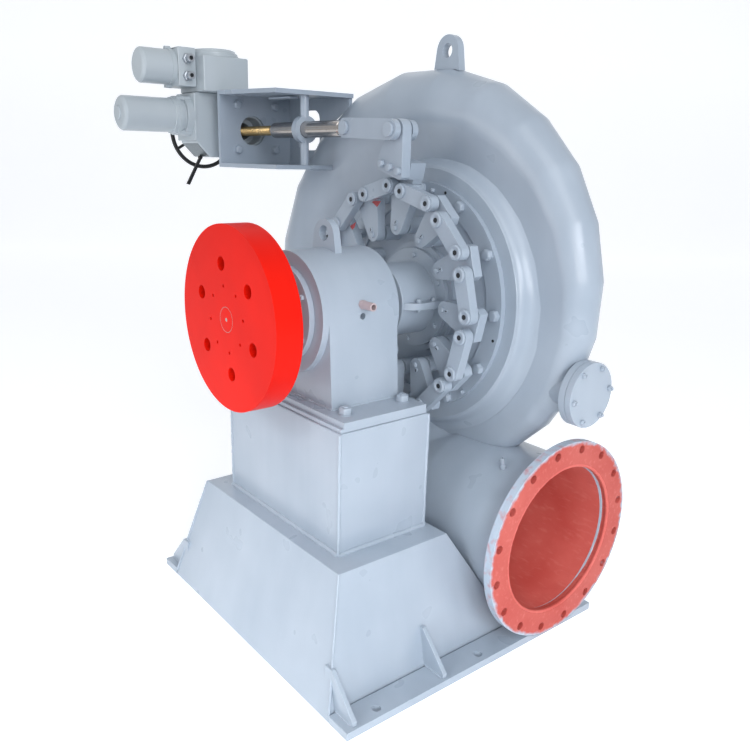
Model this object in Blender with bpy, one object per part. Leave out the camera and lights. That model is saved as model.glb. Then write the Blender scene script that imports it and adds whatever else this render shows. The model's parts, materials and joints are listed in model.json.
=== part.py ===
"""Horizontal Francis turbine on a steel pedestal, with its gate linkage and actuator.

World frame: metres, +Z up, floor at z = 0. The shaft runs along Y at height SHAFT_Z.
y = 0 is the front face of the head cover rim, +Y points away from the flywheel
and +X points towards the inlet flange.
"""
import math

import bmesh
import bpy

GAP = 0.0003
SHAFT_Z = 0.857
SHAFT_R = 0.045
CASE_Y = 0.118

# base and pedestal
RAIL_X = 0.4653
RAIL_IN = 0.3960
RAIL_T = 0.020
FRONT_Y = -0.5765
REAR_Y = 0.2887
PED_TOP_Z = 0.3139
PED_BOTTOM = (0.3947, -0.5765, 0.0410)
PED_TOP = (0.3213, -0.4983, -0.1580)
COLUMN_X = 0.2535
COLUMN_Y = (-0.4492, -0.1752)
COLUMN_TOP_Z = 0.6208
SHIM_TOP_Z = 0.6308
FOOT_TOP_Z = 0.6450

# bearing, flywheel and seal
DRUM_R = 0.1498
DRUM_Y = (-0.4240, -0.1945)
FLY_R = 0.2183
FLY_Y = (-0.5920, -0.5242)
FLY_HOLE_R = 0.0165
FLY_HOLE_CIRCLE = 0.1287
FLY_HOLE_ANGLE = 98.2

# spiral case: angle along the flow and section radius at that angle
INLET_Z = 0.2712
INNER_R = 0.3825
WALL = 0.0075
SECTION = (
    (0, 0.2085), (15, 0.2000), (30, 0.1920), (45, 0.1865), (60, 0.1815), (75, 0.1775),
    (90, 0.1730), (105, 0.1670), (120, 0.1585), (135, 0.1470), (150, 0.1340), (165, 0.1200),
    (180, 0.1059), (195, 0.0945), (210, 0.0840), (225, 0.0760), (240, 0.0687), (255, 0.0630),
    (270, 0.0580), (285, 0.0545), (300, 0.0514), (315, 0.0495), (330, 0.0480), (345, 0.0470),
)
FLANGE_X = 0.4653
FLANGE_T = 0.022
FLANGE_R = 0.2700
FLANGE_BOLT_R = 0.2479
FLANGE_BORE = 0.2030
COVER_R = 0.3094
COVER_T = 0.0145
EDGE_R = 0.3523
EDGE_H = 0.0630
STAY_R = 0.3515
STAY_NECK = 0.3490

# gate linkage: a closed chain of levers and links, angles from +X towards +Z
GATES = 12
STEM_CIRCLE = 0.1940
STEM_ANGLE = 120.5
LEVER_LEAN = 13.55
LEVER_ARM = 0.1040
LEVER_END = 0.1190
LEVER_HUB = 0.0225
LEVER_PIN_R = 0.0100
LINK_R = 0.0205
LINK_Y = (-0.1155, -0.0895)
LEVER_Y = (-0.0840, -0.0560)
DRIVEN = 1
RECESS_R = 0.2590
RECESS_Y = 0.0060

# ring drive, push rod and actuator
ARM_PIN = (0.0400, 1.2900)
ROD_PIN = (-0.1425, 1.2970)
DRIVE_Y = -0.1150
ROD_R = 0.0225
ROD_X = (-0.5410, -0.1900)
SCREW_R = 0.0145
BRACKET_X = -0.6800
BRACKET_Y = (-0.2320, 0.0260)
BRACKET_Z = (1.1860, 1.4120)
PLATE_T = 0.012
TOP_X = -0.3540
TOP_DROP = 0.010

PALE = (0.430, 0.515, 0.610)
MATERIALS = {}


def material(name, colour, metallic=0.0, roughness=0.35):
    if name not in MATERIALS:
        made = bpy.data.materials.new(name)
        made.use_nodes = True
        shader = made.node_tree.nodes["Principled BSDF"]
        shader.inputs["Base Color"].default_value = (*colour, 1.0)
        shader.inputs["Metallic"].default_value = metallic
        shader.inputs["Roughness"].default_value = roughness
        made.diffuse_color = (*colour, 1.0)
        MATERIALS[name] = made
    return MATERIALS[name]


def place(along, across, up, axis):
    """Turn (along the axis, first and second crosswise direction) into x, y, z."""
    if axis == "x":
        return (along, across, up)
    if axis == "y":
        return (across, along, up)
    return (across, up, along)


def finish(name, bm):
    bmesh.ops.recalc_face_normals(bm, faces=bm.faces)
    mesh = bpy.data.meshes.new(name)
    bm.to_mesh(mesh)
    bm.free()
    made = bpy.data.objects.new(name, mesh)
    bpy.context.scene.collection.objects.link(made)
    return made


def prism(name, outline, axis, low, high):
    """Solid with one flat outline, pushed along an axis."""
    bm = bmesh.new()
    first = [bm.verts.new(place(low, a, b, axis)) for a, b in outline]
    last = [bm.verts.new(place(high, a, b, axis)) for a, b in outline]
    bm.faces.new(first)
    bm.faces.new(last)
    for i in range(len(outline)):
        j = (i + 1) % len(outline)
        bm.faces.new((first[i], first[j], last[j], last[i]))
    return finish(name, bm)


def box(name, x, y, z):
    return prism(name, ((x[0], y[0]), (x[1], y[0]), (x[1], y[1]), (x[0], y[1])), "z", z[0], z[1])


def loft(name, rings):
    """Closed skin over rings that all have the same number of points."""
    bm = bmesh.new()
    rows = [[bm.verts.new(p) for p in ring] for ring in rings]
    bm.faces.new(rows[0])
    bm.faces.new(rows[-1])
    count = len(rows[0])
    for a, b in zip(rows[:-1], rows[1:]):
        for i in range(count):
            j = (i + 1) % count
            bm.faces.new((a[i], a[j], b[j], b[i]))
    return finish(name, bm)


def lathe(name, profile, axis, centre, segments):
    """Round solid: profile is a closed list of (along, radius) about the axis at centre."""
    bm = bmesh.new()
    rows = []
    for along, radius in profile:
        count = segments if radius > 1e-9 else 1
        row = []
        for i in range(count):
            angle = 2.0 * math.pi * (i + 0.5) / segments
            across = centre[0] + radius * math.cos(angle)
            up = centre[1] + radius * math.sin(angle)
            row.append(bm.verts.new(place(along, across, up, axis)))
        rows.append(row)
    for k in range(len(rows)):
        a = rows[k]
        b = rows[(k + 1) % len(rows)]
        if len(a) == 1 and len(b) == 1:
            continue
        for i in range(segments):
            j = (i + 1) % segments
            if len(a) == 1:
                bm.faces.new((a[0], b[j], b[i]))
            elif len(b) == 1:
                bm.faces.new((a[i], a[j], b[0]))
            else:
                bm.faces.new((a[i], a[j], b[j], b[i]))
    return finish(name, bm)


def rod(name, axis, centre, radius, low, high, segments=24):
    return lathe(name, ((low, 0.0), (low, radius), (high, radius), (high, 0.0)), axis, centre, segments)


def pipe(name, axis, centre, inner, outer, low, high, segments=48):
    profile = ((low, inner), (low, outer), (high, outer), (high, inner))
    return lathe(name, profile, axis, centre, segments)


def triangulate(made):
    bm = bmesh.new()
    bm.from_mesh(made.data)
    bmesh.ops.triangulate(bm, faces=bm.faces)
    bm.to_mesh(made.data)
    bm.free()
    return made


def combine(target, parts, operation):
    for part in parts:
        modifier = target.modifiers.new("solid", "BOOLEAN")
        modifier.operation = operation
        modifier.solver = "EXACT"
        modifier.object = part
        bpy.context.view_layer.update()
        graph = bpy.context.evaluated_depsgraph_get()
        mesh = bpy.data.meshes.new_from_object(target.evaluated_get(graph))
        target.modifiers.clear()
        target.data = mesh
        bpy.data.objects.remove(part)
    return target


def add(target, *parts):
    return combine(target, parts, "UNION")


def cut(target, *parts):
    return combine(target, parts, "DIFFERENCE")


def dress(made, name, look, angle=35.0):
    """Name, material and smooth shading with sharp corners."""
    made.name = name
    made.data.name = name
    made.data.materials.clear()
    made.data.materials.append(look)
    for polygon in made.data.polygons:
        polygon.use_smooth = True
        polygon.material_index = 0
    made.data.set_sharp_from_angle(angle=math.radians(angle))
    return made


def set_origin(made, point):
    """Move an object's origin to a point without moving its shape."""
    for vertex in made.data.vertices:
        vertex.co.x -= point[0]
        vertex.co.y -= point[1]
        vertex.co.z -= point[2]
    made.location = point


def polar(radius, degrees):
    angle = math.radians(degrees)
    return (radius * math.cos(angle), SHAFT_Z + radius * math.sin(angle))


def from_stem(index, along, side):
    """Point given by its distance from a gate stem along its lever and beside it."""
    angle = STEM_ANGLE - 30.0 * index
    stem = polar(STEM_CIRCLE, angle)
    a = math.radians(angle - LEVER_LEAN)
    x = stem[0] + along * math.cos(a) - side * math.sin(a)
    z = stem[1] + along * math.sin(a) + side * math.cos(a)
    return (x, z)


def lever_pin(index, side):
    """One of a lever's two pins, which stand thirty degrees apart as seen from its stem."""
    half = math.radians(180.0 / GATES)
    return from_stem(index, LEVER_ARM * math.cos(half), side * LEVER_ARM * math.sin(half))


def arc(centre, radius, start, stop, steps):
    points = []
    for i in range(steps + 1):
        angle = math.radians(start + (stop - start) * i / steps)
        points.append((centre[0] + radius * math.cos(angle), centre[1] + radius * math.sin(angle)))
    return points


def stadium(first, second, radius, steps=6):
    heading = math.degrees(math.atan2(second[1] - first[1], second[0] - first[0]))
    points = arc(first, radius, heading + 90.0, heading + 270.0, steps)
    points += arc(second, radius, heading - 90.0, heading + 90.0, steps)
    return points


def section_points(centre_r, radius, edge, segments):
    """Round section that narrows in two straight flanks to the stay ring."""
    edge_r, edge_h = edge
    across = centre_r - edge_r
    flank = math.pi - math.atan2(edge_h, across) - math.acos(radius / math.hypot(across, edge_h))
    half = segments // 2
    points = []
    for i in range(segments):
        j = min(i, segments - i)
        side = 1 if i <= half else -1
        if j == half:
            points.append((edge_r + 0.0030, CASE_Y))
        elif j == half - 1:
            points.append((edge_r, CASE_Y + side * edge_h))
        else:
            angle = side * flank * j / (half - 2)
            points.append((centre_r + radius * math.cos(angle), CASE_Y + radius * math.sin(angle)))
    return points


def spiral_rings(offset, start, stop, segments, step, edge):
    rings = []
    for degrees, section in SECTION:
        if degrees < start or degrees > stop or degrees % step:
            continue
        centre_r = INNER_R + section
        if degrees == 0:
            centre_r = SHAFT_Z - INLET_Z
        heading = math.radians(-90.0 - degrees)
        ring = []
        for reach, y in section_points(centre_r, section + offset, edge, segments):
            ring.append((reach * math.cos(heading), y, SHAFT_Z + reach * math.sin(heading)))
        rings.append(ring)
    return rings


def spiral_solid(name, offset, end_x, stop, segments=26, step=15, edge=None):
    edge = edge or (EDGE_R - offset, EDGE_H + offset)
    rings = spiral_rings(offset, 0, stop, segments, step, edge)
    inlet = []
    for x in (end_x, 0.1200):
        row = []
        for i in range(segments):
            angle = 2.0 * math.pi * i / segments
            across = CASE_Y + (SECTION[0][1] + offset) * math.sin(angle)
            row.append((x, across, INLET_Z - (SECTION[0][1] + offset) * math.cos(angle)))
        inlet.append(row)
    return triangulate(loft(name, inlet + rings))


def spiral_tail(name, offset, segments=26):
    """Last part of the case; it starts inside the case and ends inside the inlet pipe."""
    edge = (EDGE_R + 0.0011 - offset, EDGE_H - 0.0013 + offset)
    inside = spiral_rings(offset - 0.004, 285, 285, segments, 15, (edge[0] + 0.004, edge[1] - 0.004))
    rings = spiral_rings(offset, 300, 345, segments, 15, edge)
    return triangulate(loft(name, inside + rings))


def clear_of_spiral(made, tail=False):
    """Take away the room of the spiral case and its weld gap."""
    cut(made, spiral_solid("room", GAP, 0.60, 300))
    if tail:
        cut(made, spiral_tail("room", GAP))
    return made


def base_frame(look):
    left = box("frame", (-RAIL_X, -RAIL_IN), (FRONT_Y, REAR_Y), (0.0, RAIL_T))
    right = box("rail", (RAIL_IN, RAIL_X), (FRONT_Y, REAR_Y), (0.0, RAIL_T))
    middle = box("flat", (-RAIL_IN - 0.01, RAIL_IN + 0.01), (PED_BOTTOM[2] + GAP, 0.0700), (0.0, RAIL_T))
    rear = box("flat", (-RAIL_IN - 0.01, RAIL_IN + 0.01), (0.2187, REAR_Y), (0.0, RAIL_T))
    add(left, middle, rear, right)
    cut(left, rod("cut", "x", (0.1228, INLET_Z), FLANGE_R + 0.0010, 0.40, 0.50, 96))
    for side in (-1, 1):
        for y in (-0.474, -0.141):
            cut(left, rod("cut", "z", (side * 0.440, y), 0.011, -0.01, 0.05, 20))
    return dress(left, "base_frame", look)


def pedestal(look):
    bottom = [(-1, 1), (1, 1), (1, 2), (-1, 2)]
    low = [(side * PED_BOTTOM[0], PED_BOTTOM[i], 0.0) for side, i in bottom]
    high = [(side * PED_TOP[0], PED_TOP[i], PED_TOP_Z) for side, i in bottom]
    body = loft("pedestal", [low, high])
    for side in (-1, 1):
        for y in (-0.550, -0.275):
            outline = (
                (side * 0.360, RAIL_T + GAP), (side * 0.458, RAIL_T + GAP),
                (side * 0.458, RAIL_T + 0.012), (side * 0.378, 0.118), (side * 0.350, 0.118),
            )
            add(body, prism("gusset", outline, "y", y - 0.006, y + 0.006))
    clear_of_spiral(body)
    return dress(body, "pedestal", look)


def column(look):
    body = box("column", (-COLUMN_X, COLUMN_X), COLUMN_Y, (PED_TOP_Z + GAP, COLUMN_TOP_Z))
    return dress(body, "column", look)


def shim_plate(look):
    body = box("shim", (-0.2500, 0.2500), (-0.4440, -0.1800), (COLUMN_TOP_Z + GAP, SHIM_TOP_Z))
    return dress(body, "shim_plate", look)


def bearing_housing(look):
    body = rod("bearing", "y", (0.0, SHAFT_Z), DRUM_R, DRUM_Y[0], DRUM_Y[1], 60)
    web = (
        (-0.1630, FOOT_TOP_Z - 0.005), (0.1630, FOOT_TOP_Z - 0.005),
        (0.1485, SHAFT_Z + 0.01), (-0.1485, SHAFT_Z + 0.01),
    )
    add(body, prism("web", web, "y", -0.4060, -0.2000))
    add(body, box("foot", (-0.2520, 0.2520), (-0.4360, -0.1840), (SHIM_TOP_Z + GAP, FOOT_TOP_Z)))
    eye = [(0.050, 0.995)] + arc((0.0, 1.035), 0.0425, 0.0, 180.0, 12) + [(-0.050, 0.995)]
    add(body, prism("eye", eye, "y", -0.3180, -0.2980))
    cut(body, rod("hole", "y", (0.0, 1.0430), 0.0190, -0.33, -0.28, 24))
    cut(body, rod("bore", "y", (0.0, SHAFT_Z), SHAFT_R + 0.001, -0.50, -0.10, 48))
    cut(body, rod("hole", "x", (-0.3080, 0.8600), 0.0080, 0.120, 0.170, 16))
    cut(body, rod("seat", "x", (-0.3080, 0.8880), 0.0105 + GAP, 0.130, 0.170, 16))
    return dress(body, "bearing_housing", look)


def oil_nipple(look):
    outline = ((0.1303, 0.0), (0.1303, 0.0100), (0.1500, 0.0100), (0.1500, 0.0125), (0.1600, 0.0125),
               (0.1600, 0.0100), (0.1900, 0.0100), (0.1900, 0.0070), (0.1600, 0.0070), (0.1600, 0.0))
    body = lathe("nipple", outline, "x", (-0.3080, 0.8880), 16)
    return dress(body, "oil_nipple", look)


def bearing_cover(name, low, high, look):
    body = pipe(name, "y", (0.0, SHAFT_Z), SHAFT_R + 0.002, 0.118, low, high, 40)
    return dress(body, name, look)


def flywheel(look):
    y0, y1 = FLY_Y
    profile = (
        (y0, 0.030 + GAP), (y0, FLY_R), (y1, FLY_R), (y1, 0.085), (-0.4900, 0.085),
        (-0.4900, SHAFT_R + GAP), (y0 + 0.030, SHAFT_R + GAP), (y0 + 0.030, 0.030 + GAP),
    )
    body = lathe("flywheel", profile, "y", (0.0, SHAFT_Z), 60)
    for i in range(6):
        x, z = polar(FLY_HOLE_CIRCLE, FLY_HOLE_ANGLE - 60.0 * i)
        cut(body, rod("hole", "y", (x, z), FLY_HOLE_R, y0 - 0.01, y1 + 0.01, 16))
    dress(body, "flywheel", look)
    set_origin(body, (0.0, 0.0, SHAFT_Z))
    return body


def shaft(look):
    step = FLY_Y[0] + 0.030 + GAP
    profile = (
        (FLY_Y[0], 0.0), (FLY_Y[0], 0.030), (step, 0.030), (step, SHAFT_R),
        (0.0600, SHAFT_R), (0.0600, 0.032), (0.1500, 0.032), (0.1500, 0.0),
    )
    body = dress(lathe("shaft", profile, "y", (0.0, SHAFT_Z), 32), "shaft", look)
    set_origin(body, (0.0, 0.0, SHAFT_Z))
    return body


def runner(look):
    profile = (
        (0.0603, 0.032 + GAP), (0.0603, 0.158), (0.0730, 0.158), (0.0900, 0.100), (0.1400, 0.055),
        (0.1950, 0.015), (0.1950, 0.0), (0.1503, 0.0), (0.1503, 0.032 + GAP),
    )
    body = lathe("runner", profile, "y", (0.0, SHAFT_Z), 24)
    band = ((0.1250, 0.150), (0.1250, 0.158), (0.1750, 0.142), (0.1750, 0.134))
    add(body, lathe("band", band, "y", (0.0, SHAFT_Z), 24))
    for i in range(GATES):
        outer = []
        inner = []
        for k in range(3):
            radius = 0.050 + 0.104 * k / 2.0
            turn = 30.0 * i + 34.0 * (1.0 - k / 2.0) ** 2
            outer.append(polar(radius, turn))
            inner.append(polar(radius, turn + math.degrees(0.005 / radius)))
        add(body, prism("blade", outer + inner[::-1], "y", 0.0700, 0.1500))
    dress(body, "runner", look)
    set_origin(body, (0.0, 0.0, SHAFT_Z))
    return body


def spiral_case(look):
    body = spiral_solid("spiral", 0.0, FLANGE_X - FLANGE_T - GAP, 300)
    add(body, spiral_tail("tail", 0.0))
    cut(triangulate(body), spiral_solid("hollow", -WALL, 0.60, 270, 20, 30, (0.3710, 0.0500)))
    return dress(body, "spiral_case", look, 50.0)


def stay_ring(look):
    y0 = COVER_T + GAP
    y1 = 2.0 * CASE_Y - y0
    front = CASE_Y - EDGE_H - 0.0035
    rear = CASE_Y + EDGE_H + 0.0035
    ring = (
        (y0, 0.2620), (y0, STAY_R - 0.0075), (y0 + 0.008, STAY_R), (front, STAY_R), (front, STAY_NECK),
        (rear, STAY_NECK), (rear, STAY_R), (y1 - 0.008, STAY_R), (y1, STAY_R - 0.0075), (y1, 0.2620),
    )
    return dress(lathe("stay", ring, "y", (0.0, SHAFT_Z), 60), "stay_ring", look)


def inlet_flange(look):
    x0 = FLANGE_X - FLANGE_T
    profile = ((x0, 0.2020), (x0, FLANGE_R), (FLANGE_X, FLANGE_R), (FLANGE_X, 0.2020))
    body = lathe("flange", profile, "x", (0.1228, INLET_Z), 60)
    for i in range(16):
        angle = math.radians(101.3 - 22.5 * i)
        y = 0.1228 + FLANGE_BOLT_R * math.cos(angle)
        z = INLET_Z + FLANGE_BOLT_R * math.sin(angle)
        cut(body, rod("hole", "x", (y, z), 0.0110, x0 - 0.01, FLANGE_X + 0.01, 10))
    return dress(body, "inlet_flange", look)


def hand_hole(look_case, look_cover):
    y, z = 0.1140, 0.6820
    neck = pipe("neck", "x", (y, z), 0.036, 0.044, 0.4000, 0.4900, 20)
    add(neck, pipe("rim", "x", (y, z), 0.036, 0.082, 0.4780, 0.4950, 32))
    clear_of_spiral(neck, True)
    dress(neck, "hand_hole_neck", look_case)
    cover = rod("cover", "x", (y, z), 0.082, 0.4950 + GAP, 0.5130, 32)
    dress(cover, "hand_hole_cover", look_cover)
    return neck, cover


def case_eye(look):
    outline = [(0.0530, 1.4150)] + arc((-0.0, 1.4970), 0.0400, 8.0, 172.0, 12) + [(-0.0530, 1.4150)]
    outline = [(x - 0.0300, z) for x, z in outline]
    body = prism("eye", outline, "y", 0.0990, 0.1210)
    cut(body, rod("hole", "y", (-0.0300, 1.4970), 0.0180, 0.05, 0.15, 24))
    clear_of_spiral(body)
    return dress(body, "case_eye", look)


def saddle(name, x, look):
    body = box(name, (x - 0.010, x + 0.010), (0.0480, 0.2600), (RAIL_T + GAP, 0.1400))
    foot = box("foot", (x - 0.040, x + 0.040), (0.0430, 0.2800), (RAIL_T + GAP, RAIL_T + 0.010))
    add(body, foot)
    clear_of_spiral(body)
    return dress(body, name, look)


def head_cover(look):
    profile = (
        (-0.0080, SHAFT_R + 0.002), (-0.0080, 0.1500), (RECESS_Y, 0.1500), (RECESS_Y, RECESS_R),
        (0.0, RECESS_R), (0.0, COVER_R), (COVER_T, COVER_R), (COVER_T, 0.2605),
        (0.0300, 0.2605), (0.0300, SHAFT_R + 0.002),
    )
    body = triangulate(lathe("head", profile, "y", (0.0, SHAFT_Z), 48))
    stems = [polar(STEM_CIRCLE, STEM_ANGLE - 30.0 * i) for i in range(GATES)]
    for x, z in stems:
        add(body, rod("boss", "y", (x, z), 0.0220, -0.0500, RECESS_Y + 0.0070, 17))
    for x, z in stems:
        cut(body, rod("bore", "y", (x, z), 0.0120, -0.06, 0.05, 8))
    return dress(body, "head_cover", look)


def seal_housing(look):
    bore = SHAFT_R + 0.002
    profile = (
        (-0.1150, bore), (-0.1150, 0.0980), (-0.0210, 0.0980), (-0.0210, 0.1350),
        (-0.0080 - GAP, 0.1350), (-0.0080 - GAP, bore),
    )
    body = lathe("seal", profile, "y", (0.0, SHAFT_Z), 44)
    for side in (-1, 1):
        x = sorted((side * 0.0800, side * 0.1260))
        add(body, box("ledge", x, (-0.1080, -0.0200), (SHAFT_Z - 0.009, SHAFT_Z + 0.009)))
    return dress(body, "seal_housing", look)


def rear_cover(look):
    y = 2.0 * CASE_Y - COVER_T
    profile = (
        (y - 0.0150, 0.1480), (y - 0.0150, 0.2605), (y, 0.2605), (y, COVER_R), (y + 0.0200, COVER_R),
        (y + 0.0200, 0.1900), (y + 0.0300, 0.1600), (0.3000, 0.1600), (0.3000, 0.2200),
        (0.3220, 0.2200), (0.3220, 0.1480),
    )
    body = lathe("rear", profile, "y", (0.0, SHAFT_Z), 36)
    for i in range(8):
        x, z = polar(0.1950, 22.5 + 45.0 * i)
        cut(body, rod("hole", "y", (x, z), 0.0090, 0.29, 0.34, 8))
    return dress(body, "rear_cover", look)


def gate_lever(index, look):
    angle = STEM_ANGLE - 30.0 * index
    stem = polar(STEM_CIRCLE, angle)
    half = ((LEVER_END, 0.0365), (0.1050, 0.0440), (0.0980, 0.0440))
    outline = [from_stem(index, a, b) for a, b in half]
    for p in arc((0.0, 0.0), LEVER_HUB, 90.0, 270.0, 6):
        outline.append(from_stem(index, p[0], p[1]))
    outline += [from_stem(index, a, -b) for a, b in half[::-1]]
    body = prism("lever", outline, "y", LEVER_Y[0], LEVER_Y[1])
    add(body, rod("stem", "y", stem, 0.0110, -0.0700, 0.1925, 8))
    turned = ((-0.1215, 0.0), (-0.1215, 0.0185), (-0.1160, 0.0185), (-0.1160, LEVER_PIN_R),
              (-0.0700, LEVER_PIN_R), (-0.0700, 0.0))
    for side in (-1, 1):
        add(body, lathe("pin", turned, "y", lever_pin(index, side), 12))
    vane = []
    for k in range(5):
        vane.append((-0.036 + 0.018 * k, 0.0065 * math.sin(math.pi * (k + 0.3) / 4.6)))
    vane += [(a, -b) for a, b in vane[::-1]]
    lean = angle + 90.0 - 25.0
    turned = []
    for a, b in vane:
        c, s = math.cos(math.radians(lean)), math.sin(math.radians(lean))
        turned.append((stem[0] + a * c - b * s, stem[1] + a * s + b * c))
    add(body, prism("vane", turned, "y", 0.0350, 0.1900))
    dress(body, "gate_lever_%02d" % (index + 1), look)
    set_origin(body, (stem[0], 0.0, stem[1]))
    return body


def gate_link(index, look):
    """Link between two levers; it stays parallel to the line between their stems."""
    first = lever_pin(index - 1, -1)
    second = lever_pin(index, 1)
    body = prism("link", stadium(first, second, LINK_R, 6), "y", LINK_Y[0], LINK_Y[1])
    cut(body, rod("bore", "y", first, LEVER_PIN_R + 0.0015, -0.13, -0.08, 12))
    cut(body, rod("bore", "y", second, LEVER_PIN_R + 0.0015, -0.13, -0.08, 12))
    dress(body, "gate_link_%02d" % (index + 1), look)
    set_origin(body, (second[0], 0.0, second[1]))
    return body


def drive_block(look):
    """Block with a short leg on the end of the driven lever; the drive arm is bolted to it."""
    corners = ((0.1310, -0.0330), (0.1720, -0.0330), (0.1720, 0.0535), (0.1310, 0.0535))
    outline = [from_stem(DRIVEN, a, b) for a, b in corners]
    body = prism("block", outline, "y", -0.1000, -0.0500)
    low = LEVER_END + GAP
    corners = ((low, -0.0325), (0.1400, -0.0325), (0.1400, -0.0055), (low, -0.0055))
    outline = [from_stem(DRIVEN, a, b) for a, b in corners]
    add(body, prism("leg", outline, "y", LEVER_Y[0], -0.0520))
    dress(body, "drive_block", look)
    stem = from_stem(DRIVEN, 0.0, 0.0)
    set_origin(body, (stem[0], 0.0, stem[1]))
    return body


def drive_arm(look):
    outline = arc(ARM_PIN, 0.0270, 12.0, 168.0, 10)
    outline += [(0.0050, 1.2500), (-0.0270, 1.2200), (-0.0270, 1.1930), (0.0570, 1.1700), (0.0664, 1.1760)]
    body = prism("arm", outline, "y", DRIVE_Y - 0.0145, -0.1000 - GAP)
    add(body, rod("pin", "y", ARM_PIN, 0.0120, -0.1570, -0.0730, 12))
    add(body, rod("head", "y", ARM_PIN, 0.0175, -0.1600, -0.1525, 16))
    add(body, rod("head", "y", ARM_PIN, 0.0175, -0.0775, -0.0700, 16))
    dress(body, "drive_arm", look)
    stem = from_stem(DRIVEN, 0.0, 0.0)
    set_origin(body, (stem[0], 0.0, stem[1]))
    return body


def drive_plate(name, low, high, look):
    heading = math.degrees(math.atan2(ROD_PIN[1] - ARM_PIN[1], ROD_PIN[0] - ARM_PIN[0]))
    outline = arc(ARM_PIN, 0.0250, heading + 90.0, heading + 270.0, 10)[::-1]
    length = math.dist(ARM_PIN, ROD_PIN)
    turn = math.radians(heading)
    for a, b in ((length + 0.012, -0.025), (length + 0.027, -0.010), (length + 0.027, 0.010),
                 (length + 0.012, 0.025)):
        x = ARM_PIN[0] + a * math.cos(turn) + b * math.sin(turn)
        z = ARM_PIN[1] + a * math.sin(turn) - b * math.cos(turn)
        outline.append((x, z))
    body = prism(name, outline, "y", low, high)
    cut(body, rod("bore", "y", ARM_PIN, 0.0125, -0.20, -0.05, 20))
    cut(body, rod("bore", "y", ROD_PIN, 0.0160, -0.20, -0.05, 20))
    dress(body, name, look)
    set_origin(body, (ARM_PIN[0], 0.0, ARM_PIN[1]))
    return body


def push_rod(look):
    x, z = ROD_PIN
    centre = (DRIVE_Y, z)
    body = rod("rod", "x", centre, ROD_R, ROD_X[0], ROD_X[1], 32)
    tongue = [(ROD_X[1] - 0.010, z - 0.020)] + arc((x, z), 0.0200, -90.0, 90.0, 8)
    tongue += [(ROD_X[1] - 0.010, z + 0.020)]
    add(body, prism("tongue", tongue, "y", DRIVE_Y - 0.0140, DRIVE_Y + 0.0140))
    add(body, rod("pin", "y", (x, z), 0.0120, -0.1570, -0.0730, 12))
    add(body, rod("head", "y", (x, z), 0.0175, -0.1600, -0.1525, 16))
    add(body, rod("head", "y", (x, z), 0.0175, -0.0775, -0.0700, 16))
    dress(body, "push_rod", look)
    set_origin(body, (ROD_X[0], DRIVE_Y, z))
    return body


def lead_screw(look):
    centre = (DRIVE_Y, ROD_PIN[1])
    body = rod("screw", "x", centre, SCREW_R, -0.8000, ROD_X[0] - GAP, 24)
    dress(body, "lead_screw", look)
    set_origin(body, (ROD_X[0], DRIVE_Y, ROD_PIN[1]))
    return body


def bracket_top(x):
    """Height of the bracket's top plate, which falls a little towards the spiral case."""
    return BRACKET_Z[1] - TOP_DROP * (x - BRACKET_X) / (TOP_X - BRACKET_X)


def guide_bush(look):
    x = -0.3850
    z = ROD_PIN[1]
    body = pipe("bush", "x", (DRIVE_Y, z), ROD_R + 0.0006, 0.0385, x - 0.0110, x + 0.0110, 28)
    low = BRACKET_Z[0] + PLATE_T + GAP
    high = bracket_top(x + 0.0125) - PLATE_T - GAP
    add(body, rod("post", "z", (x, DRIVE_Y), 0.0125, z + 0.030, high, 20))
    add(body, rod("post", "z", (x, DRIVE_Y), 0.0125, low, z - 0.030, 20))
    return dress(body, "guide_bush", look)


def bracket(look):
    x0 = BRACKET_X - PLATE_T
    y0, y1 = BRACKET_Y
    z0, z1 = BRACKET_Z
    z = ROD_PIN[1]
    body = box("bracket", (x0, BRACKET_X), (y0, y1 + PLATE_T), (z0, z1))
    top = ((x0, z1), (BRACKET_X, z1), (TOP_X, z1 - TOP_DROP), (TOP_X, z1 - TOP_DROP - PLATE_T),
           (BRACKET_X, z1 - PLATE_T), (x0, z1 - PLATE_T))
    add(body, prism("top", top, "y", y0, y1 + PLATE_T))
    bottom = ((x0, y0), (TOP_X, y0), (TOP_X, -0.1200), (TOP_X - 0.0180, y1 + PLATE_T), (x0, y1 + PLATE_T))
    add(body, prism("bottom", bottom, "z", z0, z0 + PLATE_T))
    web = ((x0, z0), (-0.3600, z0), (-0.3600, bracket_top(-0.3600) - 0.006), (BRACKET_X, z1 - 0.006),
           (x0, z1 - 0.006))
    add(body, prism("web", web, "y", y1, y1 + PLATE_T))
    cut(body, rod("hole", "x", (DRIVE_Y, z), 0.0450, -0.75, -0.60, 36))
    slot = arc((-0.5400, z + 0.035), 0.030, 0.0, 90.0, 5) + arc((-0.6000, z + 0.035), 0.030, 90.0, 180.0, 5)
    slot += arc((-0.6000, z - 0.025), 0.030, 180.0, 270.0, 5)
    slot += arc((-0.5400, z - 0.025), 0.030, 270.0, 360.0, 5)
    cut(body, prism("slot", slot, "y", 0.0, 0.06))
    clear_of_spiral(body)
    return dress(body, "bracket", look)


def gearbox(look):
    z = ROD_PIN[1]
    outline = (
        (-0.2300, 1.2140), (0.0050, 1.2140), (0.0500, 1.2590), (0.0500, 1.4080), (-0.2750, 1.4080),
        (-0.2750, 1.2590),
    )
    body = prism("gearbox", outline, "x", -0.8700, -0.7500)
    add(body, rod("nose", "x", (DRIVE_Y, z), 0.0800, -0.7600, BRACKET_X - PLATE_T - GAP, 40))
    add(body, rod("tail", "x", (DRIVE_Y, z), 0.0700, -1.0000, -0.8600, 40))
    cut(body, rod("bore", "x", (DRIVE_Y, z), 0.0250, -0.8600, -0.60, 24))
    cut(body, rod("recess", "x", (DRIVE_Y, z), 0.0410, -0.7420, -0.60, 28))
    return dress(body, "gearbox", look)


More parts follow.
